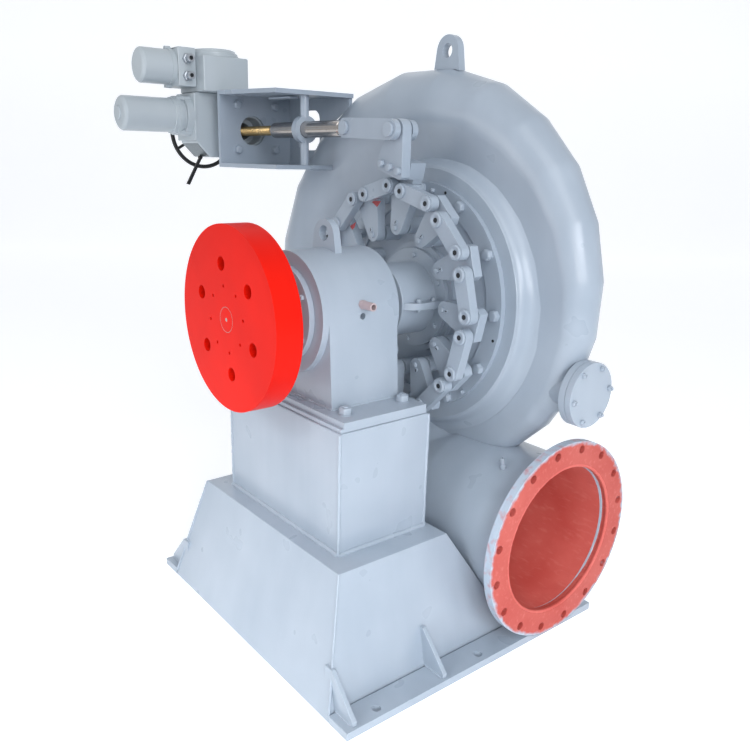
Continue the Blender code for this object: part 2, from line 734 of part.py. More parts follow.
def motor(look):
    x, z = -0.8050, 1.3380
    y1 = -0.2750 - GAP
    profile = (
        (-0.5050, 0.0), (-0.5050, 0.0350), (-0.4980, 0.0480), (-0.4920, 0.0510), (-0.3050, 0.0510),
        (-0.3050, 0.0600), (y1, 0.0600), (y1, 0.0),
    )
    return dress(lathe("motor", profile, "y", (x, z), 36), "motor", look)


def control_housing(look):
    body = box("control", (-0.8700, -0.7000), (-0.2700, -0.1150), (1.4080 + GAP, 1.5120))
    return dress(body, "control_housing", look)


def terminal_cover(look):
    x, z = -0.8050, 1.4780
    y1 = -0.2700 - GAP
    profile = (
        (-0.4400, 0.0), (-0.4400, 0.0350), (-0.4340, 0.0480), (-0.4280, 0.0510), (-0.3250, 0.0510),
        (-0.3250, 0.0), )
    body = lathe("terminal", profile, "y", (x, z), 36)
    add(body, box("block", (x - 0.056, x + 0.056), (-0.3300, y1), (z - 0.056, z + 0.056)))
    return dress(body, "terminal_cover", look)


def control_lid(look):
    z = 1.5120 + GAP
    profile = ((z, 0.0), (z, 0.0760), (z + 0.014, 0.0760), (z + 0.014, 0.0700), (z + 0.022, 0.0680),
               (z + 0.022, 0.0))
    return dress(lathe("lid", profile, "z", (-0.7850, -0.1925), 40), "control_lid", look)


def handwheel(look):
    centre = (DRIVE_Y, ROD_PIN[1])
    x = -1.0300
    body = rod("hub", "x", centre, 0.0220, -1.0400, -1.0003, 20)
    rim = []
    for a in range(6):
        turn = 2.0 * math.pi * a / 6.0
        rim.append((x + 0.0070 * math.cos(turn), 0.1160 + 0.0070 * math.sin(turn)))
    add(body, lathe("rim", rim, "x", centre, 36))
    for i in range(3):
        turn = math.radians(90.0 + 120.0 * i)
        side = (-math.sin(turn) * 0.006, math.cos(turn) * 0.006)
        inner = (centre[0] + 0.010 * math.cos(turn), centre[1] + 0.010 * math.sin(turn))
        outer = (centre[0] + 0.114 * math.cos(turn), centre[1] + 0.114 * math.sin(turn))
        outline = (
            (inner[0] - side[0], inner[1] - side[1]), (outer[0] - side[0], outer[1] - side[1]),
            (outer[0] + side[0], outer[1] + side[1]), (inner[0] + side[0], inner[1] + side[1]),
        )
        add(body, prism("spoke", outline, "x", x - 0.004, x + 0.004))
    dress(body, "handwheel", look)
    set_origin(body, (x, DRIVE_Y, ROD_PIN[1]))
    return body


def clutch_lever(look):
    x, y, z = -0.8100, -0.2380, 1.2130
    outline = ((y - 0.0050, z - 0.001), (y + 0.0050, z - 0.001), (y - 0.0420, z - 0.086),
               (y - 0.0520, z - 0.083))
    body = prism("clutch", outline, "x", x - 0.004, x + 0.004)
    add(body, rod("boss", "x", (y, z), 0.0058, x - 0.0060, x + 0.0060, 12))
    dress(body, "clutch_lever", look)
    set_origin(body, (x, y, z))
    return body


def build():
    for item in list(bpy.data.objects):
        bpy.data.objects.remove(item)
    paint = material("grey_paint", PALE)
    red = material("red_paint", (0.87, 0.045, 0.025))
    primer = material("red_primer", (0.58, 0.095, 0.075), 0.0, 0.6)
    steel = material("bright_steel", (0.55, 0.53, 0.50), 1.0, 0.25)
    brass = material("brass", (0.58, 0.45, 0.26), 1.0, 0.3)
    black = material("black_paint", (0.02, 0.02, 0.02))
    cast = material("runner_steel", (0.42, 0.43, 0.44), 1.0, 0.4)

    base_frame(paint)
    pedestal(paint)
    column(paint)
    shim_plate(paint)
    bearing_housing(paint)
    oil_nipple(steel)
    bearing_cover("bearing_cover_front", -0.4400, DRUM_Y[0] - GAP, paint)
    flywheel(red)
    shaft(steel)
    runner(cast)
    spiral_case(paint)
    stay_ring(paint)
    inlet_flange(primer)
    hand_hole(paint, paint)
    case_eye(paint)
    saddle("saddle_left", -0.2000, paint)
    saddle("saddle_right", 0.2300, paint)
    head_cover(paint)
    seal_housing(paint)
    rear_cover(paint)
    for i in range(GATES):
        gate_lever(i, paint)
        gate_link(i, paint)
    drive_block(paint)
    drive_arm(paint)
    drive_plate("drive_plate_front", -0.1520, -0.1350, paint)
    drive_plate("drive_plate_rear", -0.0950, -0.0780, paint)
    push_rod(steel)
    lead_screw(brass)
    guide_bush(paint)
    bracket(paint)
    gearbox(paint)
    motor(paint)
    control_housing(paint)
    terminal_cover(paint)
    control_lid(paint)
    handwheel(black)
    clutch_lever(black)


build()
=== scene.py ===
# %% [markdown]
# # A horizontal Francis turbine, dressed for its portrait
#
# The machine is a spiral case with a chain of linked gate levers, a bearing on a welded
# pedestal, a red flywheel and an electric actuator on a bracket. Its solids come from a
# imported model, which is the frame. This lesson gives each solid its paint, its rounded
# edges and its small parts, such as bolts, washers and weld beads.
#
# The frame is in metres: +X points to the inlet flange, the shaft runs along Y, and the
# floor is at z = 0.

import functools
import json
import math

import bpy
from mathutils import Matrix, Vector

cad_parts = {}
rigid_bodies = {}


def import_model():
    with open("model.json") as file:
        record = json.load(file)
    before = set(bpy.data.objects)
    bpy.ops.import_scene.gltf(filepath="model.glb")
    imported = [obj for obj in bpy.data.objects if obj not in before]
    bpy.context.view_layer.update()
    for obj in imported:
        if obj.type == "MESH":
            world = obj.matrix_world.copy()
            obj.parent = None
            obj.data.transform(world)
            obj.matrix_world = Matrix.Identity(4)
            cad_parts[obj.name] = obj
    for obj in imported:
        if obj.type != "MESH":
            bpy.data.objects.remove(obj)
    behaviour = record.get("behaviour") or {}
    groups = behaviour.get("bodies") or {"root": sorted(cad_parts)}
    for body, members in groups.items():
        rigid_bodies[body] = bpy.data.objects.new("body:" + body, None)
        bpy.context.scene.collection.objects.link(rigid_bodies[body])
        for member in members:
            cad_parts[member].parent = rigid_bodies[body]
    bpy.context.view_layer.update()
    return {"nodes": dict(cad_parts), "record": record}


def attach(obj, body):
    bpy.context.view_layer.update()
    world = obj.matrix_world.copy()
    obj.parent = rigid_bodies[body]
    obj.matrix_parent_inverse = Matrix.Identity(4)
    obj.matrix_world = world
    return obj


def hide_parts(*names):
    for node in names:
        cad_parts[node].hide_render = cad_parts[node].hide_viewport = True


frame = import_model()
body_of = {}
for body_name, members in frame["record"]["behaviour"]["bodies"].items():
    for member in members:
        body_of[member] = body_name
print("nodes in the frame:", len(body_of))

# %% Places that several pieces share
SHAFT_Z = 0.857
AXLE = (0.0, 0.0, SHAFT_Z)
ROD_Y, ROD_Z = -0.115, 1.297
ROD = (0.0, ROD_Y, ROD_Z)
CASE_Y, INLET_Z = 0.118, 0.2712
FLANGE_Y = 0.1228
AXES = {"x": Vector((1, 0, 0)), "y": Vector((0, 1, 0)), "z": Vector((0, 0, 1))}
TURNED_TO = {"x": (0, math.pi / 2, 0), "y": (math.pi / 2, 0, 0), "z": (0, 0, 0)}
FRONT, BACK, SIDE, TOP, DOWN = (0, -1, 0), (0, 1, 0), (1, 0, 0), (0, 0, 1), (0, 0, -1)

# %% [markdown]
# ## Small helpers
#
# An operator in Blender acts on whatever is selected, and it acts in the mode that is on.
# So each step first goes to object mode and clears the selection.

# %% Selection and modifiers
def alone(piece=None):
    """Leave edit mode, clear the selection, and make one piece active."""
    if bpy.context.object and bpy.context.object.mode != "OBJECT":
        bpy.ops.object.mode_set(mode="OBJECT")
    for item in bpy.context.view_layer.objects:
        item.select_set(False)
    if piece:
        piece.select_set(True)
        bpy.context.view_layer.objects.active = piece


def modify(piece, kind, **settings):
    """Add a modifier and apply it at once."""
    alone(piece)
    modifier = piece.modifiers.new(kind.lower(), kind)
    for key, value in settings.items():
        setattr(modifier, key, value)
    bpy.ops.object.modifier_apply(modifier=modifier.name)
    return piece


def cut(piece, tool):
    """Take a tool's shape out of a piece, and remove the tool."""
    modify(piece, "BOOLEAN", operation="DIFFERENCE", solver="EXACT", object=tool)
    bpy.data.objects.remove(tool)


def edit(piece, mode="VERT", action="SELECT"):
    """Enter edit mode with everything in the mesh selected, or nothing."""
    alone(piece)
    bpy.ops.object.mode_set(mode="EDIT")
    bpy.ops.mesh.select_mode(type=mode)
    bpy.ops.mesh.select_all(action=action)


def unpick(piece, mode="VERT"):
    """Clear the selection inside a mesh, ready to pick by hand."""
    edit(piece, mode, "DESELECT")
    alone(piece)


def extrude(vector):
    bpy.ops.mesh.extrude_region_move(TRANSFORM_OT_translate={"value": vector})


def tidy_mesh(piece, merge=0.00001):
    edit(piece)
    bpy.ops.mesh.remove_doubles(threshold=merge)
    bpy.ops.mesh.normals_make_consistent(inside=False)
    alone(piece)


def smooth(degrees):
    """Shade the active piece smooth wherever its faces meet at less than this."""
    bpy.ops.object.shade_smooth_by_angle(angle=math.radians(degrees))


def round_edges(piece, width):
    """Round the corners and keep the flat faces flat to the eye."""
    modify(piece, "BEVEL", width=width, segments=2, limit_method="ANGLE",
        angle_limit=math.radians(32.0), use_clamp_overlap=True, miter_outer="MITER_ARC")
    smooth(42.0)
    modify(piece, "WEIGHTED_NORMAL", keep_sharp=True, weight=60)

# %% Places and copies
def keep_place(piece):
    """Move a piece's place from its object into its mesh."""
    piece.data.transform(piece.matrix_world)
    piece.matrix_world = Matrix.Identity(4)


def standing(point, direction):
    """The move that stands a piece on a point, with its +Z along a direction."""
    turn = Vector(direction).to_track_quat("Z", "Y").to_matrix().to_4x4()
    return Matrix.Translation(Vector(point)) @ turn


def copy_of(source, name):
    made = bpy.data.objects.new(name, source.data.copy())
    bpy.context.scene.collection.objects.link(made)
    return made


def orbit(piece, centre, axis, degrees):
    """Turn a mesh round an axis through a centre."""
    spin = Matrix.Rotation(math.radians(degrees), 4, axis)
    piece.data.transform(Matrix.Translation(centre) @ spin @ Matrix.Translation(-Vector(centre)))


def join(first, *others):
    alone(first)
    for other in others:
        other.select_set(True)
    if others:
        bpy.ops.object.join()
    return first


def arc(across, upward, radius, degrees):
    """Points on a circle round a centre, as pairs."""
    return [(across + radius * math.cos(math.radians(t)), upward + radius * math.sin(math.radians(t)))
        for t in degrees]


def on_circle(radius, degrees, y):
    """A point round the shaft, with angles from +X towards +Z."""
    x, z = arc(0.0, SHAFT_Z, radius, (degrees,))[0]
    return Vector((x, y, z))


def cylinder(steps, radius, depth, centre, axis="z"):
    """A cylinder that is the only selected piece, still with its place in its object."""
    alone()
    bpy.ops.mesh.primitive_cylinder_add(vertices=steps, radius=radius, depth=depth,
                                        location=centre, rotation=TURNED_TO[axis])
    return bpy.context.object

# %% [markdown]
# ## Colours and nodes
#
# Paint colours are matched to a picture as sRGB hex values, and the shader wants linear
# light. One function turns one into the other. A second one adds a node with its settings
# and links and hands back an output, so a material reads as a short list of steps. The
# scale of a noise is one over the width of its blotches in metres.

# %% Colour and node helpers
def linear(code):
    parts = [int(code[i:i + 2], 16) / 255.0 for i in (1, 3, 5)]
    parts = [p / 12.92 if p <= 0.04045 else ((p + 0.055) / 1.055) ** 2.4 for p in parts]
    return (*parts, 1.0)


def add_node(material, kind, links=None, out=0, **settings):
    """Add a node and return one output. Keys of links are an input's name or number."""
    made = material.node_tree.nodes.new("ShaderNode" + kind)
    for key, value in settings.items():
        setattr(made, key, value)
    for key, value in (links or {}).items():
        if isinstance(value, bpy.types.NodeSocket):
            material.node_tree.links.new(value, made.inputs[key])
        else:
            made.inputs[key].default_value = value
    return made.outputs[out]


def new_material(name, roughness, metallic=0.0, coat=0.0):
    """A material, its shader, the place on the piece in metres, and add_node for it."""
    made = bpy.data.materials.new(name)
    made.use_nodes = True
    shader = made.node_tree.nodes["Principled BSDF"]
    for socket, value in (("Roughness", roughness), ("Metallic", metallic),
                          ("Coat Weight", coat), ("Coat Roughness", 0.12)):
        shader.inputs[socket].default_value = value
    node = functools.partial(add_node, made)
    return made, shader, node("TexCoord", out="Object"), node


def plug(shader, sockets):
    for name, value in sockets.items():
        shader.id_data.links.new(value, shader.inputs[name])


MIX = {"out": 2, "data_type": "RGBA"}   # a colour mix: inputs 0, 6 and 7 are share and colours

# %% [markdown]
# ## Machine enamel on welded steel
#
# Most of the turbine is brushed and sprayed with one coat of alkyd machine enamel, a pale
# blue grey. It is glossy but never flat: it sags a little on upright plates, it has an
# orange-peel skin, and hand-ground castings show through it as broad soft waves. So the
# colour is two close greys mixed by large blotches, with faint paler runs, and the bump
# has two sizes. The true peel, about 2 mm, is finer than a pixel here, so it is drawn at
# 7 mm on the steel and at 4 mm on the castings.

# %% Grey enamel
def grey_enamel(name, light, deep, roughness, peel=0.007, peel_depth=0.0001, wave_depth=0.0006):
    made, shader, place, node = new_material(name, roughness, coat=0.25)
    blotch = node("TexNoise", {"Vector": place, "Scale": 1 / 0.34, "Detail": 3.0})
    blotch = node("MapRange", {"Value": blotch, "From Min": 0.35, "From Max": 0.68})
    tall = node("Mapping", {"Vector": place, "Scale": (1.0, 1.0, 0.12)})
    runs = node("TexNoise", {"Vector": tall, "Scale": 1 / 0.06})
    runs = node("MapRange", {"Value": runs, "From Min": 0.35, "From Max": 0.75})
    colour = node("Mix", {0: blotch, 6: linear(light), 7: linear(deep)}, **MIX)
    share = node("Math", {0: runs, 1: 0.1}, operation="MULTIPLY")
    colour = node("Mix", {0: share, 6: colour, 7: linear("#C3CEDA")}, **MIX)
    gloss = node("TexNoise", {"Vector": place, "Scale": 1 / 0.09})
    gloss = node("MapRange", {"Value": gloss, "From Min": 0.3, "From Max": 0.7,
                                        "To Min": roughness - 0.07, "To Max": roughness + 0.09})
    waves = node("TexNoise", {"Vector": place, "Scale": 1 / 0.085, "Detail": 1.0})
    waves = node("Bump", {"Height": waves, "Distance": wave_depth})
    skin = node("TexNoise", {"Vector": place, "Scale": 1 / peel})
    skin = node("Bump", {"Height": skin, "Distance": peel_depth, "Normal": waves})
    plug(shader, {"Base Color": colour, "Roughness": gloss, "Normal": skin})
    return made


paint = grey_enamel("alkyd_enamel_sprayed_blue_grey", "#A0ACB9", "#95A2B0", 0.34)
cast_paint = grey_enamel("enamel_on_sand_cast_aluminium", "#B2BCC2", "#A3AEB6", 0.4, 0.004, 0.00014,
                         0.0003)
nipple_primer = grey_enamel("primer_sprayed_thin_on_steel_nipple", "#B9ABAE", "#A79396", 0.3, 0.004)
print("grey enamels ready")

# %% [markdown]
# ## Red enamel and red primer
#
# The flywheel has a smooth glossy red topcoat over a turned surface. The inlet flange and
# the bore behind it have only red oxide primer: matt, chalky and brushed on, with grey
# overspray where the gun reached past the rim. The overspray is placed by its distance
# from the pipe's axis. Two levers show a small patch of the same primer.

# %% Red enamel
red_enamel, shader, place, node = new_material("alkyd_enamel_sprayed_signal_red", 0.4)
shader.inputs["Specular IOR Level"].default_value = 0.1
blotch = node("TexNoise", {"Vector": place, "Scale": 1 / 0.16})
blotch = node("MapRange", {"Value": blotch, "From Min": 0.35, "From Max": 0.7})
colour = node("Mix", {0: blotch, 6: linear("#DE1809"), 7: linear("#D21508")}, **MIX)
skin = node("TexNoise", {"Vector": place, "Scale": 1 / 0.008})
skin = node("Bump", {"Height": skin, "Distance": 0.00008})
plug(shader, {"Base Color": colour, "Normal": skin})
print("red enamel ready")

# %% Red oxide primer
def oxide_primer(name, rim, deep="#C5554C", light="#D46A61"):
    """Primer that turns to grey overspray beyond rim metres from the inlet's axis."""
    made, shader, place, node = new_material(name, 0.62)
    cloud = node("TexNoise", {"Vector": place, "Scale": 1 / 0.12, "Detail": 4.0})
    cloud = node("MapRange", {"Value": cloud, "From Min": 0.3, "From Max": 0.7})
    colour = node("Mix", {0: cloud, 6: linear(deep), 7: linear(light)}, **MIX)
    along = node("Mapping", {"Vector": place, "Scale": (0.35, 1.0, 1.0)})
    strokes = node("TexNoise", {"Vector": along, "Scale": 1 / 0.011, "Detail": 3.0})
    strokes = node("MapRange", {"Value": strokes, "From Min": 0.55, "From Max": 0.8})
    share = node("Math", {0: strokes, 1: 0.35}, operation="MULTIPLY")
    colour = node("Mix", {0: share, 6: colour, 7: linear("#E08C84")}, **MIX)
    centred = node("VectorMath", {0: place, 1: (0.0, FLANGE_Y, INLET_Z)}, operation="SUBTRACT")
    flat = node("VectorMath", {0: centred, 1: (0.0, 1.0, 1.0)}, operation="MULTIPLY")
    reach = node("VectorMath", {0: flat}, out="Value", operation="LENGTH")
    ragged = node("TexNoise", {"Vector": place, "Scale": 1 / 0.02, "Detail": 3.0})
    ragged = node("MapRange", {"Value": ragged, "To Min": -0.012, "To Max": 0.012})
    reach = node("Math", {0: reach, 1: ragged}, operation="ADD")
    share = node("MapRange", {"Value": reach, "From Min": rim - 0.006, "From Max": rim + 0.004})
    colour = node("Mix", {0: share, 6: colour, 7: linear("#A9B7C6")}, **MIX)
    chalk = node("TexNoise", {"Vector": place, "Scale": 1 / 0.006, "Detail": 4.0})
    chalk = node("Bump", {"Height": chalk, "Distance": 0.0003})
    plug(shader, {"Base Color": colour, "Normal": chalk})
    return made


NO_OVERSPRAY = 1.6   # a rim farther out than any primed piece
flange_primer = oxide_primer("red_oxide_primer_brushed_on_flange", 0.266, "#B5483F", "#C05A51")
bore_primer = oxide_primer("red_oxide_primer_brushed_in_bore", 0.9)
patch_primer = oxide_primer("red_oxide_primer_bare_on_lever", NO_OVERSPRAY, "#A2474A", "#B4565A")
print("primers ready")

# %% [markdown]
# ## Bare metals and black plastic
#
# The push rod is ground and polished, so its scratches run round it and its gloss is
# tight. The screw is drawn brass with a rolled thread. The runner is ground cast steel.
# Metals keep the shader's own IOR, and only their colour and roughness change. The
# handwheel has a moulded black rim. The true grooves are far finer than a pixel, so they
# are drawn about 5 mm apart.

# %% Metals and black
def bare_metal(name, code, roughness, stretch=(1.0, 1.0, 1.0)):
    made, shader, place, node = new_material(name, roughness, 1.0)
    if stretch != (1.0, 1.0, 1.0):
        along = node("Mapping", {"Vector": place, "Scale": stretch})
    else:
        along = place
    grain = node("TexNoise", {"Vector": along, "Scale": 1 / 0.0048, "Detail": 3.0})
    share = node("MapRange", {"Value": grain, "From Min": 0.3, "From Max": 0.7})
    tone = node("Mix", {0: share, 6: linear(code), 7: linear("#8F8A84")}, **MIX)
    stain = node("TexNoise", {"Vector": place, "Scale": 1 / 0.05, "Detail": 3.0})
    stain = node("MapRange", {"Value": stain, "From Min": 0.5, "From Max": 0.8})
    share = node("Math", {0: stain, 1: 0.5}, operation="MULTIPLY")
    tone = node("Mix", {0: share, 6: linear(code), 7: tone}, **MIX)
    gloss = node("MapRange", {"Value": grain, "From Min": 0.3, "From Max": 0.7,
                                        "To Min": roughness - 0.06, "To Max": roughness + 0.08})
    marks = node("Bump", {"Height": grain, "Distance": 0.00003})
    plug(shader, {"Base Color": tone, "Roughness": gloss, "Normal": marks})
    return made


def two_tone(name, roughness, size, first, second):
    """A plain material of two close colours. It returns the shader too."""
    made, shader, place, node = new_material(name, roughness)
    share = node("TexNoise", {"Vector": place, "Scale": 1 / size})
    tone = node("Mix", {0: share, 6: linear(first), 7: linear(second)}, **MIX)
    plug(shader, {"Base Color": tone})
    return made, shader


polished_rod = bare_metal("steel_ground_and_polished", "#B9B3AE", 0.17, (6.0, 0.4, 0.4))
screw_brass = bare_metal("brass_rolled_thread", "#C8AC79", 0.3, (6.0, 0.5, 0.5))
zinc_steel = bare_metal("steel_zinc_plated", "#B7BDC4", 0.34)
cast_steel = bare_metal("steel_cast_and_ground", "#9A9DA0", 0.42)
rolled_plate = bare_metal("steel_hot_rolled_bare", "#7C858B", 0.4)
black_rim = two_tone("phenolic_moulded_black", 0.36, 0.03, "#101112", "#1B1C1E")[0]
# Painted shade: a near-black material for thin discs and bars that stand in for the dark inside of
# holes and slits
painted_hole_shade = two_tone("painted_shade_of_holes", 0.75, 0.01, "#16191C", "#2A2F35")[0]
print("metals ready")

# %% [markdown]
# ## Camera, floor and light
#
# The camera stands to the right of the flywheel, a little above it, and looks down on the
# machine. The picture is square, 750 by 750. A white sweep gives the floor and the
# background in one, and large soft lights stand for a bright workshop.

# %% Camera
PIXELS, SENSOR = 750.0, 36.0
FOCAL, CENTRE_U, CENTRE_V = 755.8, 356.09, 383.34   # in pixels
turn, pitch, roll = math.radians(51.988), math.radians(-16.61), math.radians(1.149)
forward = Vector((-math.sin(turn) * math.cos(pitch), math.cos(turn) * math.cos(pitch), math.sin(pitch)))
level = forward.cross(AXES["z"]).normalized()
upright = level.cross(forward)
right = level * math.cos(roll) + upright * math.sin(roll)
up = -level * math.sin(roll) + upright * math.cos(roll)
alone()
bpy.ops.object.camera_add(location=(0, 0, 0))
camera = bpy.context.object
camera.name = "portrait_camera"
camera.matrix_world = Matrix(((right.x, up.x, -forward.x, 1.53702404),
    (right.y, up.y, -forward.y, -1.40884744), (right.z, up.z, -forward.z, 1.22143575), (0, 0, 0, 1)))
camera.data.sensor_width = SENSOR
camera.data.lens = FOCAL / PIXELS * SENSOR
camera.data.shift_x = (PIXELS / 2 - CENTRE_U) / PIXELS
camera.data.shift_y = (CENTRE_V - PIXELS / 2) / PIXELS
camera.data.clip_end = 60.0
bpy.context.scene.camera = camera
bpy.context.scene.view_settings.view_transform = "Standard"
print("camera at", [round(v, 3) for v in camera.location])

# %% Floor and sweep
floor_white, shader = two_tone("studio_paper_matt_white", 0.85, 0.8, "#F1F4F7", "#EEF1F5")
shader.inputs["Emission Color"].default_value = (1.0, 1.0, 1.0, 1.0)
shader.inputs["Emission Strength"].default_value = 0.38
alone()
bpy.ops.mesh.primitive_plane_add(size=16.0, location=(0.0, 0.0, 0.0), rotation=(0.0, 0.0, turn))
floor = bpy.context.object
floor.name = "studio_floor"
unpick(floor, "EDGE")
away = Vector((-math.sin(turn), math.cos(turn), 0.0))
for edge in floor.data.edges:
    ends = (floor.matrix_world @ floor.data.vertices[i].co for i in edge.vertices)
    edge.select = (sum(ends, Vector()) / 2).dot(away) > 7.9
bpy.ops.object.mode_set(mode="EDIT")
bpy.ops.mesh.spin(steps=14, angle=math.radians(-86.0), center=away * 8.0 + Vector((0, 0, 3.0)),
    axis=away.cross(AXES["z"]))
extrude(away * 0.4 + Vector((0, 0, 9.0)))
alone(floor)
bpy.ops.object.shade_smooth()
floor.data.materials.append(floor_white)
print("floor made")

# %% World and soft lights
world = bpy.context.scene.world or bpy.data.worlds.new("studio_light")
bpy.context.scene.world = world
world.use_nodes = True
sky = world.node_tree.nodes["Background"].inputs
sky["Color"].default_value = linear("#FBFCFF")
sky["Strength"].default_value = 0.56
LIGHTS = {   # place, aim, size, power, tint, spread in degrees
    "window_front": ((-1.4, -4.2, 1.7), (0.0, 0.0, 0.7), 2.4, 22.0, "#FFFFFF", 180.0),
    "window_right": ((4.2, -1.3, 2.4), (0.1, 0.0, 0.5), 2.2, 84.0, "#F8FAFF", 180.0),
    "roof": ((2.0, -1.4, 3.8), (0.0, 0.0, 0.4), 2.4, 24.0, "#FFFFFF", 180.0),
    "low_right": ((2.7, -1.9, 1.1), (0.2, -0.3, 0.15), 1.0, 3.2, "#FFFFFF", 46.0),
    "low_front": ((0.1, -2.6, 1.7), (0.0, -0.5, 0.12), 0.9, 1.35, "#FFFFFF", 40.0),
}
for name, (place, aim, size, power, tint, spread) in LIGHTS.items():
    alone()
    bpy.ops.object.light_add(type="AREA", location=place)
    lamp = bpy.context.object
    lamp.name = name
    lamp.data.shape = "DISK"
    lamp.data.size = size
    lamp.data.energy = power
    lamp.data.color = linear(tint)[:3]
    lamp.data.spread = math.radians(spread)
    lamp.rotation_euler = (Vector(aim) - Vector(place)).to_track_quat("-Z", "Y").to_euler()
print("lights set")

# %% [markdown]
# ## Welded and cast pieces with painted edges
#
# No real edge is razor sharp. A sawn plate has a broken edge of about a millimetre, and
# paint pulls back from it and rounds it further, which gives each edge its thin bright
# line. A copy of the solid is merged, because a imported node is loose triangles, and then
# its edges are rounded with a bevel that looks only at real corners.

# %% Finishing a piece
def settle(piece, name, body="frame", material=paint):
    """Put a finished piece at the origin, with its place in its mesh, on its body."""
    alone(piece)
    keep_place(piece)
    piece.name = name
    piece.data.name = name
    if material:
        piece.data.materials.clear()
        piece.data.materials.append(material)
    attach(piece, body)
    return piece

# %% Rounded copies of the plain solids
FLAT = 0.6   # faces that meet at less than this many degrees are merged
EDGES = (   # paint, width of the edge, nodes
    (paint, 0.001, ("hand_hole_neck",)),
    (paint, 0.0012, ("shim_plate", "head_cover", "rear_cover", "guide_bush", "bracket")),
    (paint, 0.0015, ("saddle_left", "saddle_right")),
    (paint, 0.0016, ("drive_block",)),
    (paint, 0.0018, ("base_frame", "hand_hole_cover", "drive_plate_front", "drive_plate_rear")),
    (paint, 0.002, ("bearing_cover_front", "stay_ring")),
    (paint, 0.0022, ("bearing_housing",)),
    (paint, 0.0025, ("case_eye",)),
    (paint, 0.004, ("pedestal", "column")),
    (black_rim, 0.0014, ("clutch_lever",)),
    (cast_paint, 0.0022, ("control_lid",)),
    (cast_paint, 0.003, ("motor",)),
    (cast_paint, 0.004, ("gearbox", "terminal_cover")),
    (cast_paint, 0.005, ("control_housing",)),
)
for coat, width, nodes in EDGES:
    for node in nodes:
        piece = copy_of(frame["nodes"][node], node + "_painted")
        edit(piece)
        bpy.ops.mesh.customdata_custom_splitnormals_clear()
        bpy.ops.mesh.remove_doubles(threshold=0.00002)
        bpy.ops.mesh.mark_sharp(clear=True)
        flat = 0.0 if node == "base_frame" else FLAT
        bpy.ops.mesh.dissolve_limited(angle_limit=math.radians(flat))
        round_edges(piece, width)
        settle(piece, node + "_painted", body_of[node], coat)
        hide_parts(node)
print("painted copies:", sum(len(nodes) for *_, nodes in EDGES))

# %% [markdown]
# ## The spiral case
#
# The case is welded from short cone-shaped gores of 8 mm plate, about sixteen degrees
# each, round a stay ring. Each gore is straight along the flow, so the case shows soft
# kinks at its seams. A grid is the start: its columns become rings round the section and
# its rows run along the flow. Every ring is placed from the section radius at its flow
# angle, and two more rings beside each seam keep the kink short. Solidify then gives the
# plate its thickness, with primer on the inside.

# %% Sections along the flow
SECTION = (0.2085, 0.2, 0.192, 0.1865, 0.1815, 0.1775, 0.173, 0.167, 0.1585, 0.147, 0.134,
           0.12, 0.1059, 0.0945, 0.084, 0.076, 0.0687, 0.063, 0.058, 0.0545, 0.0514, 0.0495,
           0.048, 0.047, 0.0465)
SECTION_STEP = 15.0
EDGE_R, EDGE_H = 0.3523, 0.063   # the stay ring's edge: its radius and half its width
INNER_R = 0.3825                  # the round section starts here
FLANGE_X, ELBOW_X = 0.443, 0.12
ROUND = 72
HALF = ROUND // 2


def section_radius(flow):
    step = min(int(flow // SECTION_STEP), len(SECTION) - 2)
    share = flow / SECTION_STEP - step
    return SECTION[step] * (1.0 - share) + SECTION[step + 1] * share


def section_ring(flow, shrink=0.0):
    """Points of the section at a flow angle: round, with two flanks to the stay ring."""
    radius = section_radius(flow)
    reach = SHAFT_Z - INLET_Z if flow < 1.0 else INNER_R + radius
    radius -= shrink
    edge_r, edge_h = EDGE_R + shrink, EDGE_H - shrink
    across = reach - edge_r
    flank = math.pi - math.atan2(edge_h, across) - math.acos(radius / math.hypot(across, edge_h))
    heading = math.radians(-90.0 - flow)
    points = []
    for i in range(ROUND):
        j = min(i, ROUND - i)
        side = 1 if i <= HALF else -1
        if j >= HALF - 1:
            r, y = edge_r + 0.003 * (j - HALF + 1), CASE_Y + side * edge_h * (HALF - j)
        else:
            angle = side * flank * j / (HALF - 2)
            r, y = reach + radius * math.cos(angle), CASE_Y + radius * math.sin(angle)
        points.append(Vector((r * math.cos(heading), y, SHAFT_Z + r * math.sin(heading))))
    return points


def pipe_ring(x, shrink=0.0):
    radius = SECTION[0] - shrink
    points = []
    for i in range(ROUND):
        angle = 2.0 * math.pi * i / ROUND
        y, z = CASE_Y + radius * math.sin(angle), INLET_Z - radius * math.cos(angle)
        points.append(Vector((x, y, z)))
    return points


def wrap_grid(stations, kink=0.012):
    """A flat grid wrapped on straight gores, with two rings close to each seam."""
    rings = [stations[0]]
    for first, second in zip(stations[:-1], stations[1:]):
        share = kink / max((a - b).length for a, b in zip(first, second))
        for t in (share, 1.0 - share, 1.0) if kink else (1.0,):
            rings.append([a.lerp(b, t) for a, b in zip(first, second)])
    alone()
    count = len(rings)
    bpy.ops.mesh.primitive_grid_add(x_subdivisions=count - 1, y_subdivisions=ROUND, size=1.0)
    piece = bpy.context.object
    for vertex in piece.data.vertices:
        ring = round((vertex.co.x + 0.5) * (count - 1))
        around = round((vertex.co.y + 0.5) * ROUND) % ROUND
        vertex.co = rings[ring][around]
    tidy_mesh(piece)
    return piece

